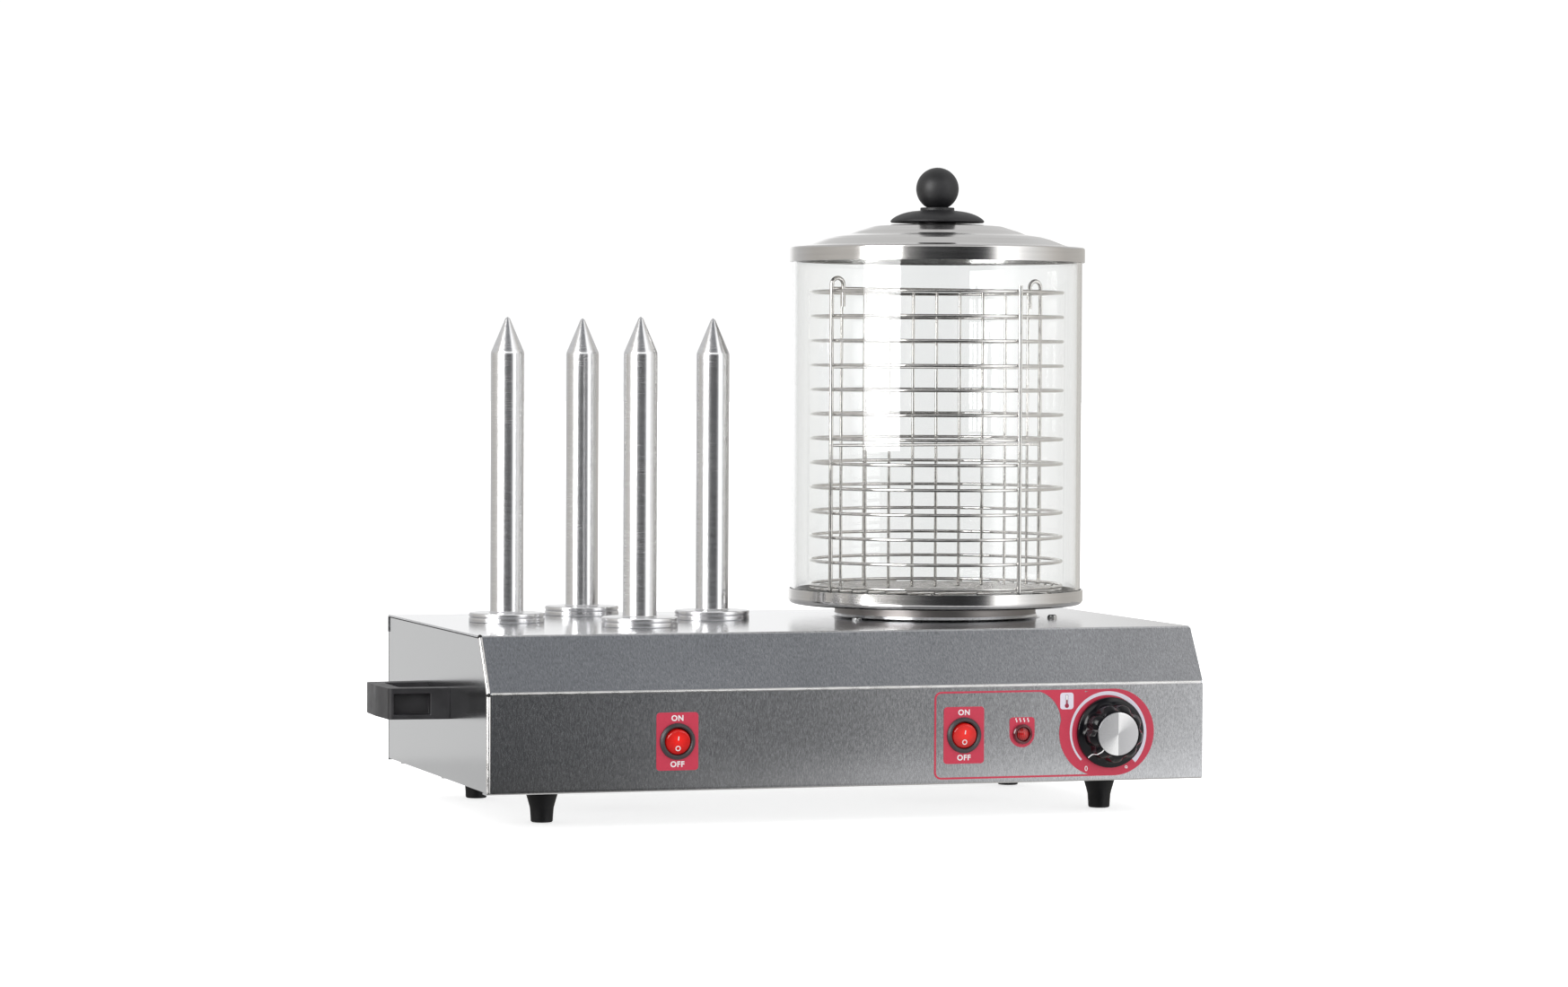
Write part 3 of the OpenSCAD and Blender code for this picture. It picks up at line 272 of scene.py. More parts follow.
STEEL_SHELL = brushed_steel("steel_shell", (1500, 450, 450), contrast=0.22)
STEEL_SIDE = brushed_steel("steel_side", (130, 1300, 130), (0.58, 0.585, 0.59), 0.15, 300, 0.03)
STEEL_BACK = brushed_steel("steel_back", (1300, 130, 130), (0.56, 0.565, 0.58), 0.2, 700)
STEEL_BASE = brushed_steel("steel_base", (1300, 130, 130), (0.45, 0.46, 0.47), 0.35, 100)
# Painted shade: the boiler's neck is darkened for the shade under the tray
NECK_PAINTED_SHADE = spun_metal("steel_neck_painted_shade", BOILER, (0.30, 0.28, 0.27), 0.42, 500.0, 0.02)
# Painted highlight: paler than the shell's steel, so the beads on the folds read brighter
EDGE_PAINTED_HIGHLIGHT = bright_metal("steel_edge_painted_highlight", (0.80, 0.79, 0.78), 0.28)
SPUN = spun_metal("steel_spun", BOILER, (0.61, 0.60, 0.59), 0.13, 700.0, 0.015)
LID_SPUN = spun_metal("steel_lid", BOILER, (0.62, 0.61, 0.60), 0.14, 500.0, 0.010)
WIRE = bright_metal("wire_bright", (0.70, 0.68, 0.66), 0.08)
SCREW = bright_metal("screw_bright", (0.70, 0.70, 0.70), 0.2)
DULL = bright_metal("metal_dull", (0.22, 0.22, 0.23), 0.45)
PLATED = bright_metal("metal_plated", (0.6, 0.57, 0.5), 0.35)
COPPER = bright_metal("copper", (0.72, 0.40, 0.27), 0.3)
BLACK_MATTE = plastic("plastic_black_matte", (0.016, 0.016, 0.018), 0.5)
BLACK_GLOSS = plastic("plastic_black_gloss", (0.004, 0.004, 0.006), 0.14, 900.0, 0.02, 0.0, 0.3)
BEZEL_GREY = plastic("plastic_bezel", (0.050, 0.045, 0.049), 0.5, 1500.0, 0.05)
# Painted shadow: dark stand-ins for the shade in holes and gaps
SHADOW = plastic("painted_gap_shadow", (0.010, 0.010, 0.011), 0.7)
HANDLE_BLACK = plastic("plastic_handle", (0.018, 0.017, 0.020), 0.45, 1800.0, 0.18)
RUBBER = plastic("rubber_black", (0.005, 0.005, 0.006), 0.6, 1500.0, 0.2, 0.0, 0.25)
SILICONE = plastic("silicone_clear", (0.72, 0.73, 0.73), 0.35, 900.0, 0.05)
SILICONE_ORANGE = plastic("silicone_orange", (0.55, 0.16, 0.05), 0.5)
WHITE_PLASTIC = plastic("plastic_white", (0.8, 0.79, 0.75), 0.4)
LAMP_RING = plastic("lamp_ring_red", (0.11, 0.006, 0.012), 0.14, 900.0, 0.02, 0.6)
RED_FILM = printed("film_red", (0.60, 0.028, 0.072), 0.42)
WHITE_INK = printed("ink_white", (0.86, 0.85, 0.86))
PINK_INK = printed("ink_lilac", (0.78, 0.74, 0.84))
GREY_INK = printed("ink_grey", (0.45, 0.38, 0.45))
RED_INK = printed("ink_dark_red", (0.33, 0.012, 0.05))
GLASS = clear_glass("glass_clear")


# Mesh tools

def add_object(name, data):
    made = bpy.data.objects.new(name, data)
    bpy.context.scene.collection.objects.link(made)
    return made


def make(name, verts, faces, material, slot, body="housing", node=None, smooth_angle=35.0):
    """A mesh piece from points in millimetres. It rides on a body and hides a node, if one is named."""
    mesh = bpy.data.meshes.new(name)
    mesh.from_pydata([tuple(Vector(v) * MM) for v in verts], [], faces)
    clean(mesh, smooth_angle)
    mesh.materials.append(material)
    piece = add_object(name, mesh)
    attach(piece, body)
    if node:
        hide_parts(node)


def clean(mesh, smooth_angle):
    """Joins doubled points, turns the faces outward and shades smooth but for sharp edges."""
    work = bmesh.new()
    work.from_mesh(mesh)
    bmesh.ops.remove_doubles(work, verts=work.verts, dist=0.001 * MM)
    bmesh.ops.recalc_face_normals(work, faces=work.faces)
    limit = math.radians(smooth_angle)
    for face in work.faces:
        face.smooth = True
    for edge in work.edges:
        if len(edge.link_faces) == 2:
            edge.smooth = edge.calc_face_angle(0.0) < limit
    work.to_mesh(mesh)
    work.free()


def soften(points, radii, steps=4):
    """An outline with its corners rounded, by one radius or one for each point. Ends stay as they are."""
    if not isinstance(radii, (list, tuple)):
        radii = [radii] * len(points)
    out = [points[0]]
    for before, here, after, radius in zip(points, points[1:], points[2:], radii[1:]):
        corner = Vector(here)
        a, b = Vector(before) - corner, Vector(after) - corner
        turn = a.angle(b)
        if radius <= 0 or turn > math.pi - 0.01:
            out.append(tuple(here))
            continue
        reach = min(radius / math.tan(turn / 2), a.length * 0.49, b.length * 0.49)
        start, end = corner + a.normalized() * reach, corner + b.normalized() * reach
        for i in range(steps + 1):
            s = i / steps
            out.append(tuple(start * (1 - s) ** 2 + corner * 2 * s * (1 - s) + end * s ** 2))
    out.append(points[-1])
    return out


def soften_loop(points, radii, steps=4):
    """soften() for a closed outline."""
    if not isinstance(radii, (list, tuple)):
        radii = [radii] * len(points)
    loop = [points[-1]] + list(points) + [points[0]]
    return soften(loop, [0] + list(radii) + [0], steps)[1:-1]


def around(count):
    """Cosine and sine of equal steps of a full turn."""
    return [(math.cos(TAU * i / count), math.sin(TAU * i / count)) for i in range(count)]


def circle(radius, centre, count=40):
    return [(centre[0] + radius * c, centre[1] + radius * s) for c, s in around(count)]


def rectangle(width, height, radius, centre):
    x, y = width / 2, height / 2
    corners = [(-x, -y), (x, -y), (x, y), (-x, y)]
    return [(centre[0] + p[0], centre[1] + p[1]) for p in soften_loop(corners, radius, 6)]


def grid(rows, count, start=0, wrap=True, loop=False):
    """Faces between rows of points; wrap joins each row's ends, and loop joins the last row to the first."""
    faces = []
    for row in range(rows if loop else rows - 1):
        here, after = start + row * count, start + (row + 1) % rows * count
        for i in range(count if wrap else count - 1):
            n = (i + 1) % count
            faces.append([here + i, here + n, after + n, after + i])
    return faces


def shifted(faces, start):
    return [[start + i for i in face] for face in faces]


BOX_FACES = [[0, 1, 3, 2], [4, 6, 7, 5], [0, 4, 5, 1], [2, 3, 7, 6], [0, 2, 6, 4], [1, 5, 7, 3]]


def box_points(xs, ys, zs):
    return [(x, y, z) for x in xs for y in ys for z in zs]


def lathe(name, profile, centre, material, slot, body="housing", node=None, segments=128, closed=False,
          turn=Matrix.Identity(3)):
    """Turns a profile of (radius, height) round the axis through centre. A closed one is a ring's section."""
    centre = Vector(centre)
    verts = [centre + turn @ Vector((r * c, r * s, z)) for c, s in around(segments) for r, z in profile]
    faces = grid(segments, len(profile), wrap=closed, loop=True)
    for face in faces:
        first, second = profile[face[0] % len(profile)], profile[face[1] % len(profile)]
        if first[0] < 1e-9:
            del face[3]
        elif second[0] < 1e-9:
            del face[2]
    make(name, verts, faces, material, slot, body, node)


def tube(path, radius, closed=False, sides=12):
    """Points and faces of a round wire along a path."""
    verts = []
    count = len(path)
    normal = None
    for i, point in enumerate(path):
        ahead, behind = (i + 1) % count, i - 1
        if not closed:
            ahead, behind = min(i + 1, count - 1), max(i - 1, 0)
        tangent = (path[ahead] - path[behind]).normalized()
        if normal is None:
            normal = Vector((0, 0, 1)) if abs(tangent.z) < 0.9 else Vector((1, 0, 0))
        normal = (normal - tangent * normal.dot(tangent)).normalized()
        side = tangent.cross(normal)
        verts += [point + (normal * c + side * s) * radius for c, s in around(sides)]
    faces = grid(count, sides, loop=closed)
    if not closed:
        faces += [list(range(sides)), list(range((count - 1) * sides, count * sides))]
    return verts, faces


def on_front(centre):
    """Turns x right, y up and z out of the front, from a control's middle, into the frame."""
    return lambda x, y, z: Vector((centre.x + x, FRONT_Y - z, centre.z + y))


# For lathe(): a turned piece whose axis comes out of the front
FRONT_TURN = Matrix(((1, 0, 0), (0, 0, -1), (0, 1, 0)))


# CAD nodes that keep their shape: a finish and smooth shading

def dress(material, *nodes):
    for name in nodes:
        mesh = NODES[name].data
        mesh.materials.clear()
        mesh.materials.append(material)
        mesh.shade_smooth()
        mesh.set_sharp_from_angle(angle=math.radians(28))


dress(STEEL_SHELL, "housing_shell")
dress(STEEL_SIDE, "left_side_panel", "right_side_panel")
dress(STEEL_BACK, "rear_panel")
dress(STEEL_BASE, "base_plate")
dress(SCREW, "rear_screws", "base_screws", "foot_screws", "foot_nuts", "handle_screws", "thermostat_nut",
      "thermostat_shaft", "boiler_nuts", "lid_knob_screw", "spike_nuts")
dress(RED_FILM, "left_switch_label", "right_switch_label", "lamp_label", "dial_label")
dress(NECK_PAINTED_SHADE, "boiler_pot")
dress(SPUN, "base_ring")
dress(SILICONE_ORANGE, "boiler_gasket")
dress(SILICONE, "glass_gasket")
dress(DULL, "heating_element", "spike_heaters")
dress(PLATED, "overheat_limiter", "thermostat_body")
dress(COPPER, "thermostat_bulb")
dress(WHITE_PLASTIC, "terminal_block")
dress(BLACK_MATTE, "cable_gland", "gland_nut")
dress(GLASS, "glass_cylinder")


# Edges of the housing

def edges():
    """A bright bead along the front fold, and one up the front's left corner: real rounded edges in a paler
    steel that paints on part of their highlight.
    """
    bead_r, inset, inset_fold, end_gap, bend = 1.45, 1.0, 1.35, 1.6, 1.5
    fold_ends = (SHELL_LOW.x + 3, SHELL_HIGH.x - 1.5)
    slope = Vector((0, RIDGE_Y - FRONT_Y, TOP_Z - FOLD_Z)).normalized()
    inward = Vector((0, slope.z, -slope.y))
    across = (Vector((0, 1, 0)) + inward).normalized() * inset_fold
    line = [Vector((x, FRONT_Y, FOLD_Z)) + across for x in fold_ends]
    make("fold_line", *tube(line, bead_r, sides=32), EDGE_PAINTED_HIGHLIGHT, "steel_polished", smooth_angle=50.0)
    x = SHELL_LOW.x + inset
    low = Vector((x, FRONT_Y + inset, SHELL_LOW.z + end_gap))
    fold = Vector((x, FRONT_Y + inset, FOLD_Z - 0.4))
    top = Vector((x, RIDGE_Y, TOP_Z)) + inward * inset - slope * end_gap
    path = [low, fold - Vector((0, 0, bend)), fold + slope * bend, top]
    make("corner_line", *tube(path, bead_r, sides=24), EDGE_PAINTED_HIGHLIGHT, "steel_polished", smooth_angle=50.0)


def relief_holes():
    """Dark dots for the holes at the two folds of the corner: a painted shadow for the shade inside them."""
    radius, steps = 1.5, 10
    angles = [math.pi * k / steps for k in range(steps + 1)]
    ball = [(radius * math.sin(a), -radius * math.cos(a)) for a in angles]
    ball[0], ball[-1] = (0, -radius), (0, radius)
    for name, y, z in (("low", FRONT_Y, FOLD_Z), ("high", RIDGE_Y, TOP_Z)):
        centre = (SHELL_LOW.x + 0.9, y + 0.7, z - 0.8)
        lathe("relief_" + name, ball, centre, SHADOW, "black_matte", segments=20)


def top_seams():
    """The dark seam under the top sheet, on both side panels, a painted shadow of the gap there."""
    half_depth, half_height = 0.3, 0.4
    z = TOP_Z - SHEET - half_height
    for side, name in ((-1, "left"), (1, "right")):
        low, high = box(name + "_side_panel")
        outer = low.x if side < 0 else high.x
        xs = (outer + side * half_depth, outer - side * half_depth)
        verts = box_points(xs, (RIDGE_Y + 1.5, high.y - 1), (z - half_height, z + half_height))
        make(name + "_top_seam", verts, BOX_FACES, SHADOW, "black_matte")


# Spikes

def spikes():
    """Each has a shank in the housing, a flange in two tiers, a round stem and a pointed end."""
    shank_r, stem_r, foot_r, tip_r, point_h = 8, 11.5, 12.3, 1.6, 24.5
    tier_z, groove, groove_half, flange_z = 3.6, 0.9, 0.5, 6.5
    for name in ("left_spike", "back_spike", "front_spike", "right_spike"):
        low, high = box(name)
        centre = Vector(((low.x + high.x) / 2, (low.y + high.y) / 2, TOP_Z))
        height, bottom = high.z - TOP_Z, low.z - TOP_Z
        flange_r = (high.x - low.x) / 2
        profile = [(shank_r, bottom), (shank_r, 0), (flange_r, 0), (flange_r, tier_z - groove_half),
                   (flange_r - groove, tier_z), (flange_r, tier_z + groove_half), (flange_r, flange_z),
                   (foot_r, flange_z), (stem_r, flange_z + 0.8), (stem_r, height - point_h),
                   (tip_r, height - 1.2), (0, height)]
        radii = [0, 0, 0.5, 0.2, 0.1, 0.2, 0.9, 0.5, 0.5, 6, 1.4, 0]
        finish = spun_metal("aluminium_" + name, centre, (0.70, 0.70, 0.71), 0.24, 1900.0, 0.03, 0.05)
        lathe("spike_" + name, [(0, bottom)] + soften(profile, radii), centre, finish, "spike_aluminium",
              node=name, segments=96)


# Feet

# Widening of a foot against its height, each as a share
FLARE = ((0.06, 0.15), (0.19, 0.36), (0.55, 0.52), (1, 0.7))


def feet():
    low, high = box("rubber_feet")
    low_r, top_r, sink_r, screw_r, sink_h = 7.3, 10.4, 4.9, 2.9, 9
    flare = [(low_r + a * (top_r - low_r), b * high.z) for a, b in FLARE]
    profile = [(sink_r, sink_h), (sink_r, 0), (low_r, 0), *flare, (top_r, high.z), (screw_r, high.z),
               (screw_r, sink_h)]
    section = soften_loop(profile, [0, 0.3, 1.6, 4, 4, 3, 1, 0, 0, 0])
    for i, x in enumerate((low.x + top_r, high.x - top_r)):
        for j, y in enumerate((low.y + top_r, high.y - top_r)):
            lathe(f"foot_{i}{j}", section, (x, y, 0), RUBBER, "foot_rubber", node="rubber_feet", segments=48,
                  closed=True)


# Lid and its knob

# Radius and rise of the dome, each as a share
DOME = ((0.92, 0.03), (0.895, 0.06), (0.876, 0.09), (0.85, 0.15), (0.818, 0.23), (0.77, 0.35), (0.712, 0.46),
        (0.60, 0.575), (0.549, 0.71), (0.481, 0.85), (0.443, 0.93), (0.366, 0.98), (0.30, 1))


def lid():
    """The spun dome, its rolled edge and the ring that lies on the glass."""
    low, high = box("lid")
    centre = (BOILER.x, BOILER.y, low.z)
    r, top = (high.x - low.x) / 2, high.z - low.z
    rim, wall, hole_r = 10.3, 1.1, 2.8
    outer = [(r, 0), (r, rim)] + [(x * r, rim + y * (top - rim)) for x, y in DOME] + [(hole_r, top)]
    shell = soften(outer, [0, 1.6] + [4] * (len(DOME) - 1) + [20, 0], 6)
    inner = [(max(x - wall, hole_r) if y < rim else x, y - wall if y > rim / 2 else y) for x, y in shell]
    edge = soften_loop([(r - 0.2, 0), (r - 0.2, 1.4), (r - 2.2, 1.4), (r - 2.2, 0)], 0.6)
    seat = [(r - 7.6, 4.3), (r - 1, 4.3), (r - 1, 5.3), (r - 7.6, 5.3)]
    for name, section, node, segments in (("lid_shell", shell + inner[::-1], "lid", 192),
                                          ("lid_rolled_edge", edge, None, 192),
                                          ("lid_seat_ring", seat, None, 128)):
        lathe(name, section, centre, LID_SPUN, "steel_polished", "lid_unit", node, segments, True)


def lid_knob():
    """A ball on a short neck that widens into a dish."""
    low, high = box("lid_knob")
    dish_r, ball_r, neck_r, collar_z = (high.x - low.x) / 2, 15, 11.6, 12.4
    ball_z = high.z - low.z - ball_r
    angles = [math.radians(a) for a in range(0, 90, 9)]
    dish = [((dish_r - neck_r) * math.cos(a) + neck_r, 2.6 + 7.4 * math.sin(a) ** 1.4) for a in angles]
    start, steps = -math.asin((ball_z - collar_z) / ball_r), 28
    angles = [start + (math.pi / 2 - start) * i / steps for i in range(steps)]
    ball = [(ball_r * math.cos(a), ball_z + ball_r * math.sin(a)) for a in angles] + [(0, ball_z + ball_r)]
    lower = soften([(0, 0), (13.5, 0), (13.5, 1.6), (dish_r - 0.6, 1.6), (dish_r, 2.2), dish[0]],
                   [0, 0.3, 0.3, 0.4, 0.4, 0])
    collar_r = neck_r + 0.4
    collar = soften([dish[-1], (collar_r, 10.1), (collar_r, 12.2), (ball[0][0] - 0.3, 12.3), ball[1]], 0.5)
    lathe("lid_knob_ball", lower + dish[1:-1] + collar + ball[2:], (BOILER.x, BOILER.y, low.z), BLACK_MATTE,
          "black_matte", "lid_unit", "lid_knob", 96)


# Basket

TURN = math.radians(14)


def in_basket(x, y, z):
    """A point of the basket, which stands turned in the glass."""
    c, s = math.cos(TURN), math.sin(TURN)
    return Vector((BOILER.x + x * c - y * s, BOILER.y + x * s + y * c, z))


def round_basket(radius, angle, z):
    return in_basket(radius * math.cos(angle), radius * math.sin(angle), z)


def wires(name, node, paths, radius, closed=False):
    """Round wires of the basket as one piece."""
    verts, faces = [], []
    for path in paths:
        more, rings = tube(path, radius, closed)
        faces += shifted(rings, len(verts))
        verts += more
    make(name, verts, faces, WIRE, "wire_steel", "basket", node, 60.0)


def basket():
    hoop_wire, post_wire, rod_wire = 1.15, 1.5, 1.1
    low, high = box("basket_rings")
    radius = (high.x - low.x) / 2 - hoop_wire
    hoops, sides = 13, 120
    step = (high.z - low.z - 2 * hoop_wire) / (hoops - 1)
    levels = [low.z + hoop_wire + step * i for i in range(hoops)]
    paths = [[round_basket(radius, TAU * i / sides, z) for i in range(sides)] for z in levels]
    wires("basket_hoops", "basket_rings", paths, hoop_wire, True)
    basket_posts(radius + hoop_wire + post_wire, levels[-1] + 4, post_wire)
    basket_floor(radius, rod_wire)
    basket_partition(radius - hoop_wire - 0.3, rod_wire)


def basket_posts(radius, short_top, wire):
    """Two short posts and two long ones, which bend over inward into a hook."""
    low, high = box("basket_uprights")
    hook, hook_end, steps = 4.8, 15, 12
    arch = high.z - hook - wire
    paths = []
    for i, degrees in enumerate((1, 91, 184, 275)):
        angle = math.radians(degrees)
        path = [round_basket(radius, angle, z) for z in (low.z, short_top if i % 2 else (low.z + arch) / 2)]
        if i % 2 == 0:
            for k in range(steps + 1):
                a = math.pi * k / steps
                inner = radius - hook + hook * math.cos(a)
                path.append(round_basket(inner, angle, arch + hook * math.sin(a)))
            path.append(round_basket(radius - 2 * hook, angle, arch - hook_end))
        paths.append(path)
    wires("basket_posts", "basket_uprights", paths, wire)


def basket_floor(radius, wire):
    """Straight rods side by side, and two across below them."""
    z, pitch = box("basket_floor")[1].z - wire, 12.2
    paths = []
    for i in range(-7, 8):
        y = i * pitch
        if abs(y) < radius - wire:
            half = math.sqrt(radius ** 2 - y ** 2)
            paths.append([in_basket(x, y, z) for x in (-half, half)])
    half = math.sqrt(radius ** 2 - (radius / 2) ** 2)
    for x in (radius / 2, -radius / 2):
        paths.append([in_basket(x, y, z - 2 * wire) for y in (-half, half)])
    wires("basket_floor_rods", "basket_floor", paths, wire)


def basket_partition(reach, wire):
    """Upright rods across the middle, and three level ones in front of them."""
    low, high = box("basket_partition")
    pitch, levels = 19.7, (1, 0.74, 0.48)
    paths = [[in_basket(i * pitch, 0, z) for z in (low.z, high.z)] for i in range(-4, 5)]
    half = math.sqrt(reach ** 2 - 4 * wire ** 2)
    for share in levels:
        z = low.z + share * (high.z - low.z) - wire
        paths.append([in_basket(x, -2 * wire, z) for x in (-half, half)])
    wires("basket_divider", "basket_partition", paths, wire)


# Handles

def handle(name, side):
    """A moulded bow handle with a recess in each arm; side is -1 on the left and 1 on the right."""
    node = name + "_handle"
    low, high = box(node)
    panel_x = high.x if side < 0 else low.x
    place, (out, _, tall) = middle(node), size(node)
    base, bar, thick, bow = 38, 33.5, 11, 1.3
    plan = soften_loop([(0, -base), (out - bow, -bar), (out, 0), (out - bow, bar), (0, base)],
                       [0, 3.4, 30, 3.4, 0], 5)
    reach, half_gap = out - thick, bar - thick
    gap = soften_loop([(0, half_gap), (reach, half_gap), (reach, -half_gap), (0, -half_gap)], [0, 4, 4, 0], 5)
    outline = plan + gap
    work = bmesh.new()
    lower, upper = ([work.verts.new((x, y, z)) for x, y in outline] for z in (-tall / 2, tall / 2))
    corners = lower + upper
    for face in [range(len(outline))[::-1], range(len(outline), len(corners)), *grid(2, len(outline))]:
        work.faces.new([corners[i] for i in face])
    bmesh.ops.recalc_face_normals(work, faces=work.faces)
    smallest_arm = 200
    arms = [f for f in work.faces if abs(f.normal.y) > 0.9 and abs(f.calc_center_median().y) > bar
            and f.calc_area() > smallest_arm]
    for face in arms:
        recess(work, face, out, tall, (base - bar) / (out - bow))
    for v in work.verts:
        v.co = Vector((panel_x + side * v.co.x, place.y + v.co.y, place.z + v.co.z)) * MM
    bmesh.ops.recalc_face_normals(work, faces=work.faces)
    mesh = bpy.data.meshes.new(node + "_grip")
    work.to_mesh(mesh)
    work.free()
    mesh.materials.append(HANDLE_BLACK)
    mesh.shade_smooth()
    mesh.set_sharp_from_angle(angle=math.radians(50))
    piece = add_object(node + "_grip", mesh)
    rounding = piece.modifiers.new("rounding", "BEVEL")
    rounding.width = 0.7 * MM
    rounding.segments = 3
    rounding.limit_method = "ANGLE"
    rounding.angle_limit = math.radians(40)
    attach(piece, "housing")
    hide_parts(node)


def recess(work, face, out, tall, lean):
    """A sunk field in an arm's face, with a deeper pocket in it; lean is how far the arm narrows outward."""
    slant = lean if face.calc_center_median().y < 0 else -lean
    start_x, above, below, chamfer, pocket_depth = 0.30 * out, 3.3, 2.8, 0.9, 6
    bmesh.ops.inset_individual(work, faces=[face], thickness=1.2)
    for v in face.verts:
        shift = start_x - v.co.x if v.co.x < out / 2 else 0.5
        v.co += Vector((shift, shift * slant, 0))
        v.co.z = tall / 2 - above if v.co.z > 0 else -tall / 2 + below
    bmesh.ops.inset_individual(work, faces=[face], thickness=chamfer, depth=-chamfer)
    pocket = bmesh.ops.extrude_discrete_faces(work, faces=[face])["faces"][0]
    inward = -pocket.normal * pocket_depth
    for v in pocket.verts:
        v.co += inward


# Rocker switches

def switch(side):
    """A round bezel with its neck through the front, three tabs at its back and the rocker in it."""
    name, node = side + "_switch", side + "_switch_body"
    low, high = box(node)
    centre = (low + high) / 2
    front, back = FRONT_Y - low.y, FRONT_Y - high.y
    bezel, bore, neck, floor_z, neck_z = 12, 9, 10, -9, -18
    profile = [(bore, floor_z), (bore, front - 0.9), (bore + 0.8, front), (bezel - 1.4, front),
               (bezel, front - 1.5), (bezel, FILM), (neck, FILM), (neck, neck_z), (0, neck_z),
               (0, neck_z + 1), (0, floor_z)]
    radii = [0, 0.6, 0.5, 0.8, 0.6, 0, 0, 0.5, 0, 0, 0]
    lathe(name + "_bezel", soften(profile, radii), (centre.x, FRONT_Y, centre.z), BEZEL_GREY, "black_matte",
          node=node, segments=96, turn=FRONT_TURN)
    verts, faces = [], []
    half_thick, half_wide = 0.4, 2.4
    for x in (-5, 0, 5):
        faces += shifted(BOX_FACES, len(verts))
        verts += box_points((x - half_thick, x + half_thick), (-half_wide, half_wide), (back, neck_z + 0.5))
    to_world = on_front(centre)
    make(name + "_tabs", [to_world(*v) for v in verts], faces, SCREW, "screw_steel")
    rocker(name, side + "_rocker", side + "_rocker_unit", side + "_rocker_tilt")


def rocker(name, node, body, joint):
    """A round paddle: a ball cut by two faces that meet in a shallow valley. It leans to its lower half."""
    pivot = Vector(next(j["pos_m"] for j in frame["joints"] if j["name"] == joint)) / MM
    radius, edge, valley, blend, tilt = 8.7, 3.9, 2.9, 0.5, 12
    under_r, under_z, steps, spokes = 0.9 * radius, -3.5, 14, 64
    turn = Matrix.Rotation(math.radians(tilt), 3, "X")

    def surface(x, y):
        """Height of the paddle's face above its pivot, rounded off towards the rim."""
        face = valley + (edge - valley) * (math.sqrt(y * y + 1) - 1) / radius
        ball = math.sqrt(max(radius * radius - x * x - y * y, 0.0))
        gap = ball - face
        return face + 0.5 * (gap - math.sqrt(gap * gap + blend * blend))

    def to_world(x, y, z):
        q = turn @ Vector((x, y, z))
        return Vector((pivot.x + q.x, pivot.y - q.z, pivot.z + q.y))

    points = [(0.0, 0.0, surface(0, 0))]
    for i in range(1, steps + 1):
        r = radius * 0.985 * math.sin(math.pi / 2 * i / steps)
        points += [(r * c, r * s, surface(r * c, r * s)) for c, s in around(spokes)]
    under = len(points)
    points += [(under_r * c, under_r * s, under_z) for c, s in around(spokes)]
    faces = [[0, 1 + k, 1 + (k + 1) % spokes] for k in range(spokes)] + grid(steps + 1, spokes, 1)
    faces.append([under + k for k in range(spokes)])
    # Painted glow and highlight: the paddle glows and is brightest just above its middle
    red = red_glow_and_painted_light("red_" + name, (pivot.x, pivot.y - 3, pivot.z + 1.5), 9.5, (0.80, 0.014, 0.009),
                  (0.36, 0.003, 0.003), 0.27)
    make(name + "_paddle", [to_world(*p) for p in points], faces, red, "lamp_red", body, node, 50.0)

    lift, mark_on, mark_off = 0.12, 2.9, -3.9
    bar = rectangle(0.7, 2.8, 0.2, (0, mark_on))
    rings = circle(1.75, (0, mark_off)) + circle(1.15, (0, mark_off))
    for label, outline, faces in (("_mark_on", bar, [list(range(len(bar)))]),
                                  ("_mark_off", rings, grid(2, len(rings) // 2))):
        verts = [to_world(x, y, surface(x, y) + lift) for x, y in outline]
        make(name + label, verts, faces, WHITE_INK, "label_red", body)


# Pilot lamp

def pilot_lamp():
    """A red ring with a body behind the front, and a rippled lens that glows."""
    low, high = box("pilot_lamp_body")
    front, back = FRONT_Y - low.y, FRONT_Y - high.y
    base = (LAMP.x, FRONT_Y, LAMP.z)
    ring_r, bore_r, lens_r, ripples = 6.7, 4.6, 4.2, 9
    profile = [(0, back), (bore_r, back), (bore_r, FILM), (ring_r, FILM), (ring_r, front - 0.9),
               (ring_r - 1.1, front), (bore_r + 0.3, front - 0.3), (bore_r, FILM + 0.3), (0, FILM + 0.3)]
    ring = soften(profile, [0, 0.4, 0, 0.3, 0.8, 0.6, 0.3, 0, 0])
    rise = size("pilot_lamp_lens").y
    dome = [(0, FILM + 0.4), (lens_r, FILM + 0.4), (lens_r, FILM + rise * 0.55)]
    for i in range(1, ripples):
        share = 1 - i / ripples
        dome.append((lens_r * share, FILM + rise * (1 - 0.45 * share ** 2) - (0.12 if i % 2 else 0)))
    dome.append((0, FILM + rise))
    # The lens glows for its lamp; its upright ribs are painted on as stripes of light and shade
    glow = red_glow_and_painted_light("red_lens", (LAMP.x, FRONT_Y - 2, LAMP.z), 4.6, (0.62, 0.010, 0.012), (0.12, 0.002, 0.003),
                   0.22, 0.3)
    for name, section, finish, slot, node in (("ring", ring, LAMP_RING, "lamp_ring", "pilot_lamp_body"),
                                              ("dome", dome, glow, "lamp_red", "pilot_lamp_lens")):
        lathe("pilot_lamp_" + name, section, base, finish, slot, node=node, segments=64, turn=FRONT_TURN)


# Control knob

CAP_R = 14.6
KNOB_GAP = FRONT_Y - box("control_knob")[1].y
KNOB_TOP = FRONT_Y - box("control_knob")[0].y
SKIRT_R = size("control_knob").x / 2


def lobe_depth(angle, r, z):
    """How far a hollow of the grip is cut in, at an angle and a height above the front."""
    lobes, deepest, grip_z, run_in, shoulder, run_out = 9, 2.2, KNOB_GAP + 3.4, 3, 1.9, 2.5
    wave = 0.5 - 0.5 * math.cos(lobes * (angle - math.pi / 2) + math.pi)
    share = min(max((z - grip_z) / run_in, 0.0), 1.0)
    if z > KNOB_TOP - shoulder:
        share *= max(0.0, min(1.0, (r - CAP_R - 0.6) / run_out))
    return deepest * wave ** 2 * share


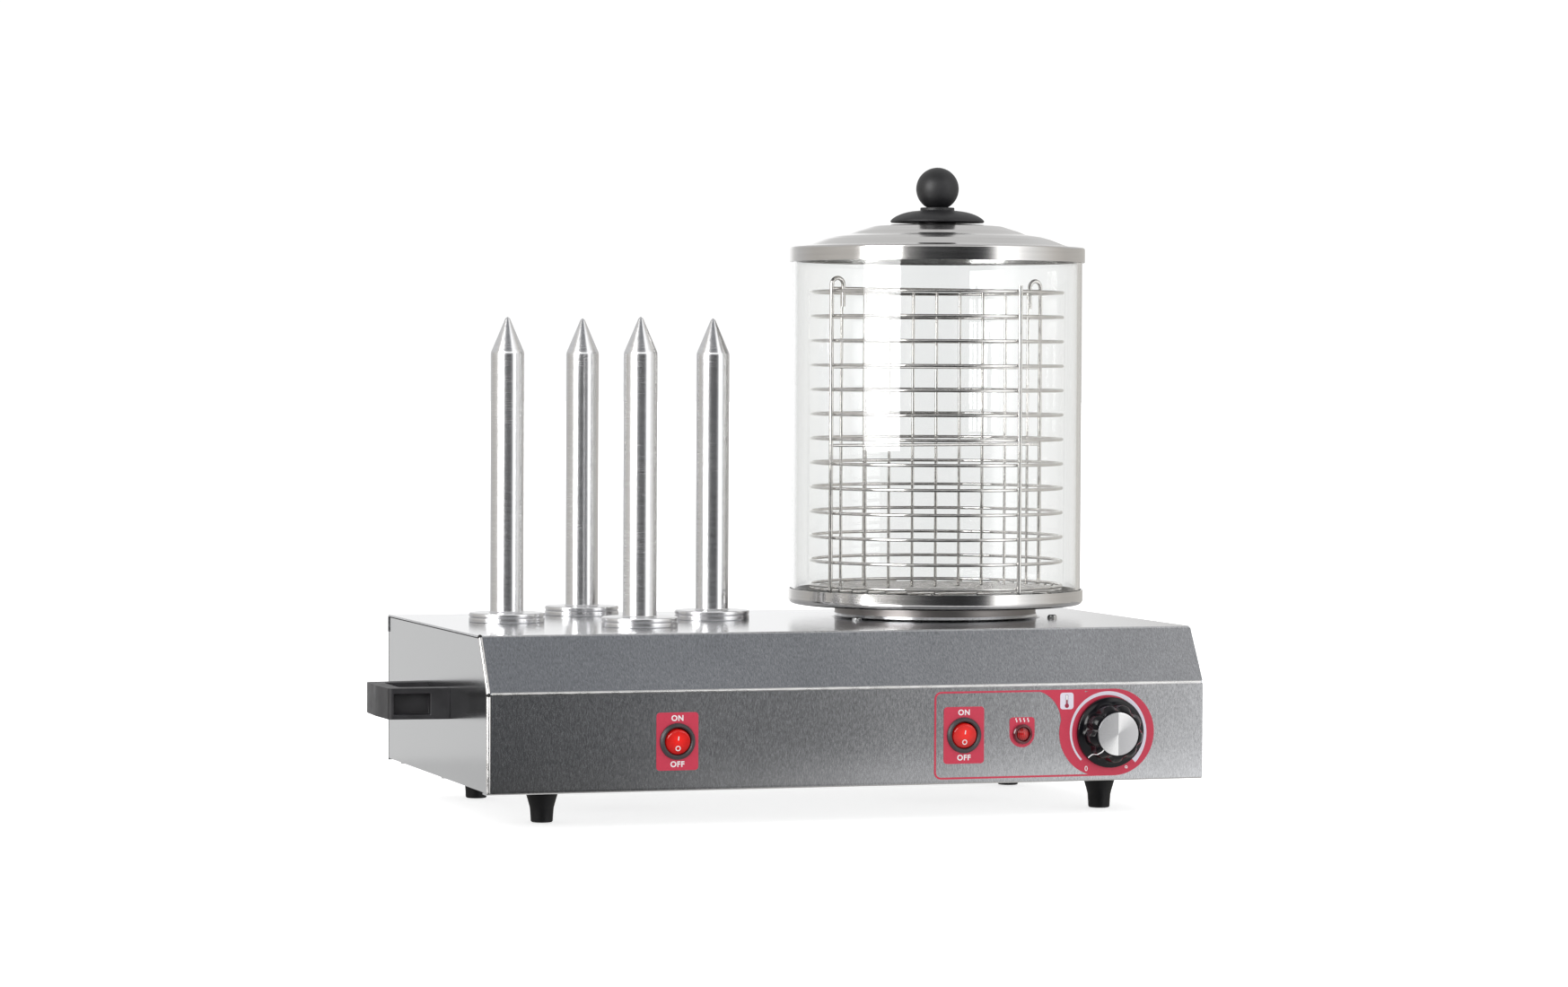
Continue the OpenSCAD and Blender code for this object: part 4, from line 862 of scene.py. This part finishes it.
def knob():
    """A lobed grip on a round skirt, hollow below, with its cap and its pointer."""
    gap, top, grip_r, hollow_r, shaft_r, shaft_h, segments = KNOB_GAP, KNOB_TOP, 20, 10.5, 3.06, 11, 216
    to_world = on_front(KNOB)
    outer = soften([(SKIRT_R, gap), (SKIRT_R, gap + 2.6), (grip_r + 1.2, gap + 3.6), (grip_r, gap + 5),
                    (grip_r - 0.6, top - 3.4), (CAP_R + 2.2, top), (CAP_R + 0.5, top)],
                   [0, 1.0, 1.6, 1.2, 2.4, 0.8, 0])
    seat_z, hub_z = top - 0.9, gap + 4
    inner = [(CAP_R + 0.5, seat_z), (0, seat_z), (SKIRT_R - 1.5, gap), (hollow_r, gap + 0.6),
             (hollow_r, hub_z), (shaft_r, hub_z), (shaft_r, gap + shaft_h), (0, gap + shaft_h)]
    verts = []
    for i in range(segments):
        a = TAU * i / segments
        for r, z in outer:
            r -= lobe_depth(a, r, z)
            verts.append(to_world(r * math.cos(a), r * math.sin(a), z))
    count, seat = len(outer), len(verts)
    under = seat + 2 * segments
    verts += [to_world(r * c, r * s, z) for r, z in inner for c, s in around(segments)]
    faces = grid(segments, count, wrap=False, loop=True)
    faces += grid(2, segments, seat) + grid(len(inner) - 2, segments, under)
    for i in range(segments):
        n = (i + 1) % segments
        faces.append([(i + 1) * count - 1, seat + i, seat + n, (n + 1) * count - 1])
        faces.append([i * count, under + i, under + n, n * count])
    make("knob_grip", verts, faces, BLACK_GLOSS, "black_gloss", "knob_unit", "control_knob", 45.0)
    knob_cap()
    pointer(to_world, outer)


def knob_cap():
    top, thick, bevel = KNOB_TOP, 0.8, 0.5
    finish = radial_aluminium_painted_highlight("aluminium_cap", (KNOB.x, FRONT_Y - top, KNOB.z))
    under, edge = top - thick, top - bevel / 2
    profile = [(0, under), (CAP_R, under), (CAP_R, edge), (CAP_R - bevel, top), (0, top)]
    lathe("knob_cap_disc", soften(profile, [0, 0, 0.3, 0.3, 0]), (KNOB.x, FRONT_Y, KNOB.z), finish,
          "cap_aluminium", "knob_unit", "knob_cap", turn=FRONT_TURN)


def pointer(to_world, outer):
    """White line from the cap's edge over the grip to the skirt's edge, at the low end of the scale."""
    angle, half, lift = math.radians(DIAL_START), 0.4, 0.10
    along = Vector((math.cos(angle), math.sin(angle)))
    across = Vector((-along.y, along.x)) * half
    stops = [(r - lobe_depth(angle, r, z), z) for r, z in outer if r < SKIRT_R - 0.2][::-1]
    verts = []
    for r, z in [(CAP_R + 0.2, stops[0][1])] + stops:
        for p in (along * (r + lift) - across, along * (r + lift) + across):
            verts.append(to_world(p.x, p.y, z + lift))
    make("knob_pointer", verts, grid(len(verts) // 2, 2, wrap=False), WHITE_INK, "cap_aluminium", "knob_unit")


# Printing on the films

# Angle of the scale's low end, the scale's sweep, and how far it lies left of the knob
DIAL_START = 225.0
DIAL_SWEEP = 270.0
DIAL_LEFT = 1.8


def lettering(name, text, height, to_world, centre, weight):
    """Raised print, drawn from the built-in font and laid on the front."""
    size_for_height, spacing = 1.38, 1.12
    curve = bpy.data.curves.new(name, "FONT")
    curve.body = text
    curve.size = height * size_for_height * MM
    curve.align_x = "CENTER"
    curve.align_y = "CENTER"
    curve.offset = weight * MM
    curve.space_character = spacing
    source = add_object(name + "_source", curve)
    graph = bpy.context.evaluated_depsgraph_get()
    flat = bpy.data.meshes.new_from_object(source.evaluated_get(graph))
    bpy.data.objects.remove(source)
    verts = [to_world(centre[0] + v.co.x / MM, centre[1] + v.co.y / MM, PRINT) for v in flat.vertices]
    faces = [list(p.vertices) for p in flat.polygons]
    bpy.data.meshes.remove(flat)
    make(name, verts, faces, WHITE_INK, "label_red")


def dial_print():
    """The scale, which widens from its low end, a number at both ends and the thermometer sign."""
    to_world = on_front(KNOB)
    steps, inner, narrow, widening, bend = 110, 25.2, 1.3, 2.9, 1.3
    verts = []
    for i in range(steps + 1):
        share = i / steps
        a = math.radians(DIAL_START - DIAL_SWEEP * share)
        for r in (inner, inner + narrow + widening * share ** bend):
            verts.append(to_world(r * math.cos(a) - DIAL_LEFT, r * math.sin(a), PRINT))
    make("dial_arc", verts, grid(steps + 1, 2, wrap=False), PINK_INK, "label_red")
    lettering("dial_low", "0", 3.4, to_world, (-16.6, -24.4), 0.05)
    lettering("dial_high", "9", 3.4, to_world, (12.4, -24.6), 0.05)
    heat_sign(to_world)


def heat_sign(to_world):
    """A light square with a plain thermometer, beside the dial."""
    x, y = -30.8, 21.6
    field = rectangle(9.6, 11.2, 2.2, (x, y))
    count = len(field)
    verts = [to_world(*p, level) for level in (FILM, PRINT) for p in field]
    faces = grid(2, count) + [list(range(count)), list(range(count, 2 * count))]
    make("dial_sign_field", verts, faces, PINK_INK, "label_red")
    lift = PRINT + 0.04
    for name, outline, ink in (("tube", rectangle(2.0, 6.6, 1.0, (x, y + 1.1)), GREY_INK),
                               ("bore", rectangle(1.2, 5.8, 0.6, (x, y + 1.1)), WHITE_INK),
                               ("bulb", circle(1.5, (x, y - 3.2)), RED_INK),
                               ("column", rectangle(1.0, 4.0, 0.4, (x, y - 1.2)), RED_INK)):
        lift += 0.01
        verts = [to_world(*p, lift) for p in outline]
        make("dial_sign_" + name, verts, [list(range(len(verts)))], ink, "label_red")


def switch_print():
    for side in ("left", "right"):
        to_world = on_front(middle(side + "_switch_body"))
        for part, y in (("on", 15.1), ("off", -15.1)):
            lettering(f"{side}_print_{part}", part.upper(), 3.7, to_world, (0, y), 0.16)


def lamp_print():
    """A row of four upright waves over the pilot lamp."""
    to_world = on_front(LAMP)
    steps, low, height, swing, half = 24, 8.0, 2.8, 0.4, 0.35
    verts, faces = [], []
    for x in (-4.2, -1.4, 1.4, 4.2):
        shares = [i / steps for i in range(steps + 1)]
        wave = [Vector((x + swing * math.sin(TAU * share), low + height * share)) for share in shares]
        faces += shifted(grid(steps + 1, 2, wrap=False), len(verts))
        for before, here, after in zip(wave[:1] + wave, wave, wave[1:] + wave[-1:]):
            way = (after - before).normalized() * half
            side = Vector((-way.y, way.x))
            verts += [to_world(*(here + side), PRINT), to_world(*(here - side), PRINT)]
    make("lamp_print_waves", verts, faces, WHITE_INK, "label_red")


edges()
relief_holes()
top_seams()
spikes()
feet()
lid()
lid_knob()
basket()
handle("left", -1)
handle("right", 1)
switch("left")
switch("right")
pilot_lamp()
knob()
dial_print()
switch_print()
lamp_print()


# Camera, at the photograph's place and angle

def camera():
    """The distances are those found for the photograph, in metres in the model's frame."""
    place = Vector((-0.9903, -3.0453, 0.3054))
    yaw, pitch, roll = math.radians(17.948), math.radians(-1.6327), math.radians(0.279)
    focal_px, width_px = 5171.8, 1747
    forward = Vector((math.sin(yaw) * math.cos(pitch), math.cos(yaw) * math.cos(pitch), math.sin(pitch)))
    level_right = Vector((math.cos(yaw), -math.sin(yaw), 0))
    level_up = level_right.cross(forward)
    right = level_right * math.cos(roll) + level_up * math.sin(roll)
    up = -level_right * math.sin(roll) + level_up * math.cos(roll)
    data = bpy.data.cameras.new("camera")
    data.sensor_width = 36.0
    data.lens = focal_px * data.sensor_width / width_px
    data.clip_end = 50
    holder = add_object("camera", data)
    turn = Matrix((right, up, -forward)).transposed().to_4x4()
    holder.matrix_world = Matrix.Translation(place) @ turn
    bpy.context.scene.camera = holder


# Studio, in metres; but for the pale floor and the white surround, only reflections show it

def stage_sheet(name, xs, ys, z, material):
    """A flat piece of the studio, left out of diffuse and transmitted light."""
    mesh = bpy.data.meshes.new(name)
    corners = [(xs[i], ys[j], z) for i, j in ((0, 0), (1, 0), (1, 1), (0, 1))]
    mesh.from_pydata(corners, [], [[0, 1, 2, 3]])
    mesh.materials.append(material)
    sheet = add_object(name, mesh)
    sheet.visible_diffuse = sheet.visible_transmission = False
    return sheet


def floor():
    t = Tree("floor_pale")
    rough = t.spread(t.add("TexNoise", {"Scale": 3.0})["Fac"], 0.55, 0.65, 0.0, 1.0)
    pale = t.finish((0.85, 0.85, 0.85, 1), rough, Emission_Color=(1, 1, 1, 1), Emission_Strength=0.7,
                    Specular_IOR_Level=0.0)
    stage_sheet("floor", (-30, 30), (-30, 30), -0.0005, pale).visible_glossy = False


def glow_card(name, xs, ys, strength=None, ramp=None):
    """A lit table that only mirrors show, of one strength, or with a ramp of (x, strength, x, strength)."""
    t = Tree(name)
    t.nodes.clear()
    if ramp:
        x = t.add("SeparateXYZ", {0: t.add("TexCoord")["Object"]})["X"]
        strength = t.spread(x, ramp[1], ramp[3], ramp[0], ramp[2], True)
    t.add("OutputMaterial", {"Surface": t.add("Emission", {"Strength": strength})["Emission"]})
    card = stage_sheet(name, xs, ys, 0.0, t.holder)
    card.visible_camera = card.visible_shadow = False


# Brightness and warmth of the room by direction in degrees: 0 in front of the machine, positive to its right
ROOM = ((-180, 1.14, 0), (-168, 0.78, 0), (-156, 0.66, 0), (-130, 0.58, 1), (-100, 0.66, 1), (-82, 0.62, 1),
        (-48, 0.35, 0.5), (-38, 0.2, 0), (-28, 0.06, -1), (0, 0.035, -1), (11, 0.06, -1), (16, 0.09, -1),
        (19, 0.17, -0.5), (21, 0.3, 0), (23, 0.5, 0), (26, 1.1, 0), (29, 2.2, 0), (42, 2.1, 0), (50, 1.4, 0),
        (60, 1.1, 0), (72, 0.92, 0.5), (84, 0.74, 1), (98, 0.63, 1), (150, 0.6, 1), (156, 0.6, 0.5),
        (160, 1.18, 0), (180, 1.14, 0))
# The same for the ceiling
CEILING = ((-180, 0.74, 0), (-110, 0.72, 0), (-80, 0.6, 0), (-50, 0.3, -1), (20, 0.27, -1.5),
           (31, 0.24, -1.5), (35, 0.23, -1.5), (38, 0.28, -1), (42, 0.5, 0), (60, 0.82, 0), (90, 0.7, 0),
           (120, 0.74, 0), (180, 0.74, 0))
# Strengths straight overhead and in the patch of light in front, and what a full ramp stands for
OVERHEAD, PATCH, BRIGHTEST = 0.6, 1.7, 2.5


def surround():
    """White for the camera and for light. Surfaces mirror a room with a ceiling and a bright patch."""
    world = bpy.data.worlds.new("studio")
    bpy.context.scene.world = world
    t = Tree("studio", world)
    t.nodes.clear()
    way = t.add("SeparateXYZ", {0: t.add("TexCoord")["Generated"]})
    azimuth = t.calc("ARCTAN2", way["X"], t.calc("MULTIPLY", way["Y"], -1.0))
    share = t.spread(azimuth, 0.0, 1.0, -math.pi, math.pi)

    def band(axis, low, high, to_low=0.0, to_high=1.0):
        return t.spread(way[axis], to_low, to_high, low, high, True)

    def ring(values):
        ramp = t.nodes.new("ShaderNodeValToRGB")
        stops = ramp.color_ramp.elements
        stops.remove(stops[1])
        for i, (degrees, value, warmth) in enumerate(values):
            stop = stops.new((degrees + 180) / 360) if i else stops[0]
            level = value / BRIGHTEST
            stop.color = (level * (1 + 0.03 * warmth), level, level * (1 - 0.05 * warmth), 1)
        t.feed(ramp, {"Fac": share})
        return ramp.outputs["Color"]

    ceiling = t.mix(band("Z", 0.88, 0.99), ring(CEILING), [OVERHEAD / BRIGHTEST] * 3)
    behind = t.calc("MULTIPLY", band("Y", 0.05, 0.35), band("Z", 0.10, 0.30))
    high = t.calc("MAXIMUM", behind, band("Z", 0.62, 0.80))
    patch = t.calc("MULTIPLY", band("Z", 0.16, 0.34), band("Z", 0.46, 0.64, 1.0, 0.0))
    patch = t.calc("MULTIPLY", patch, band("Y", -0.35, -0.6))
    sides = t.mix(patch, ring(ROOM), [PATCH / BRIGHTEST] * 3)
    room = t.add("Background", {"Color": t.mix(high, sides, ceiling), "Strength": BRIGHTEST})
    path = t.add("LightPath")
    through = t.calc("ADD", t.calc("MULTIPLY", path["Is Transmission Ray"], -0.10), 1.05)
    white = t.add("Background", {"Color": (1, 1, 1, 1), "Strength": through})
    mirrored = t.calc("MULTIPLY", path["Is Glossy Ray"], t.calc("GREATER_THAN", path["Glossy Depth"], 0.5))
    mixed = t.add("MixShader", {"Fac": mirrored, 1: white["Background"], 2: room["Background"]})
    t.add("OutputWorld", {"Surface": mixed["Shader"]})


def left_box():
    """A tall soft light on the left, placed by its angle and distance from the boiler."""
    azimuth, distance, low, high, width, power = math.radians(-63), 2.0, 0.207, 1.7, 1.07, 38
    data = bpy.data.lights.new("left_box", "AREA")
    data.shape = "RECTANGLE"
    data.size, data.size_y = width, high - low
    data.energy = power
    lamp = add_object("left_box", data)
    away = Vector((math.sin(azimuth), -math.cos(azimuth), 0)) * distance
    lamp.location = Vector((BOILER.x * MM, BOILER.y * MM, (low + high) / 2)) + away
    lamp.rotation_euler = (math.pi / 2, 0, azimuth)
    lamp.visible_camera = lamp.visible_diffuse = False


camera()
floor()
surround()
front_y, left_x = FRONT_Y * MM, CAD_BOX[0][0]
glow_card("table_card", (-1.0, 1.2), (front_y - 0.38, front_y - 0.01), ramp=(-0.2, 0.08, 0.42, 1.15))
glow_card("side_card", (left_x - 0.26, left_x - 0.01), (-1.2, 0.4), strength=0.62)
left_box()
bpy.context.scene.view_settings.view_transform = "Standard"
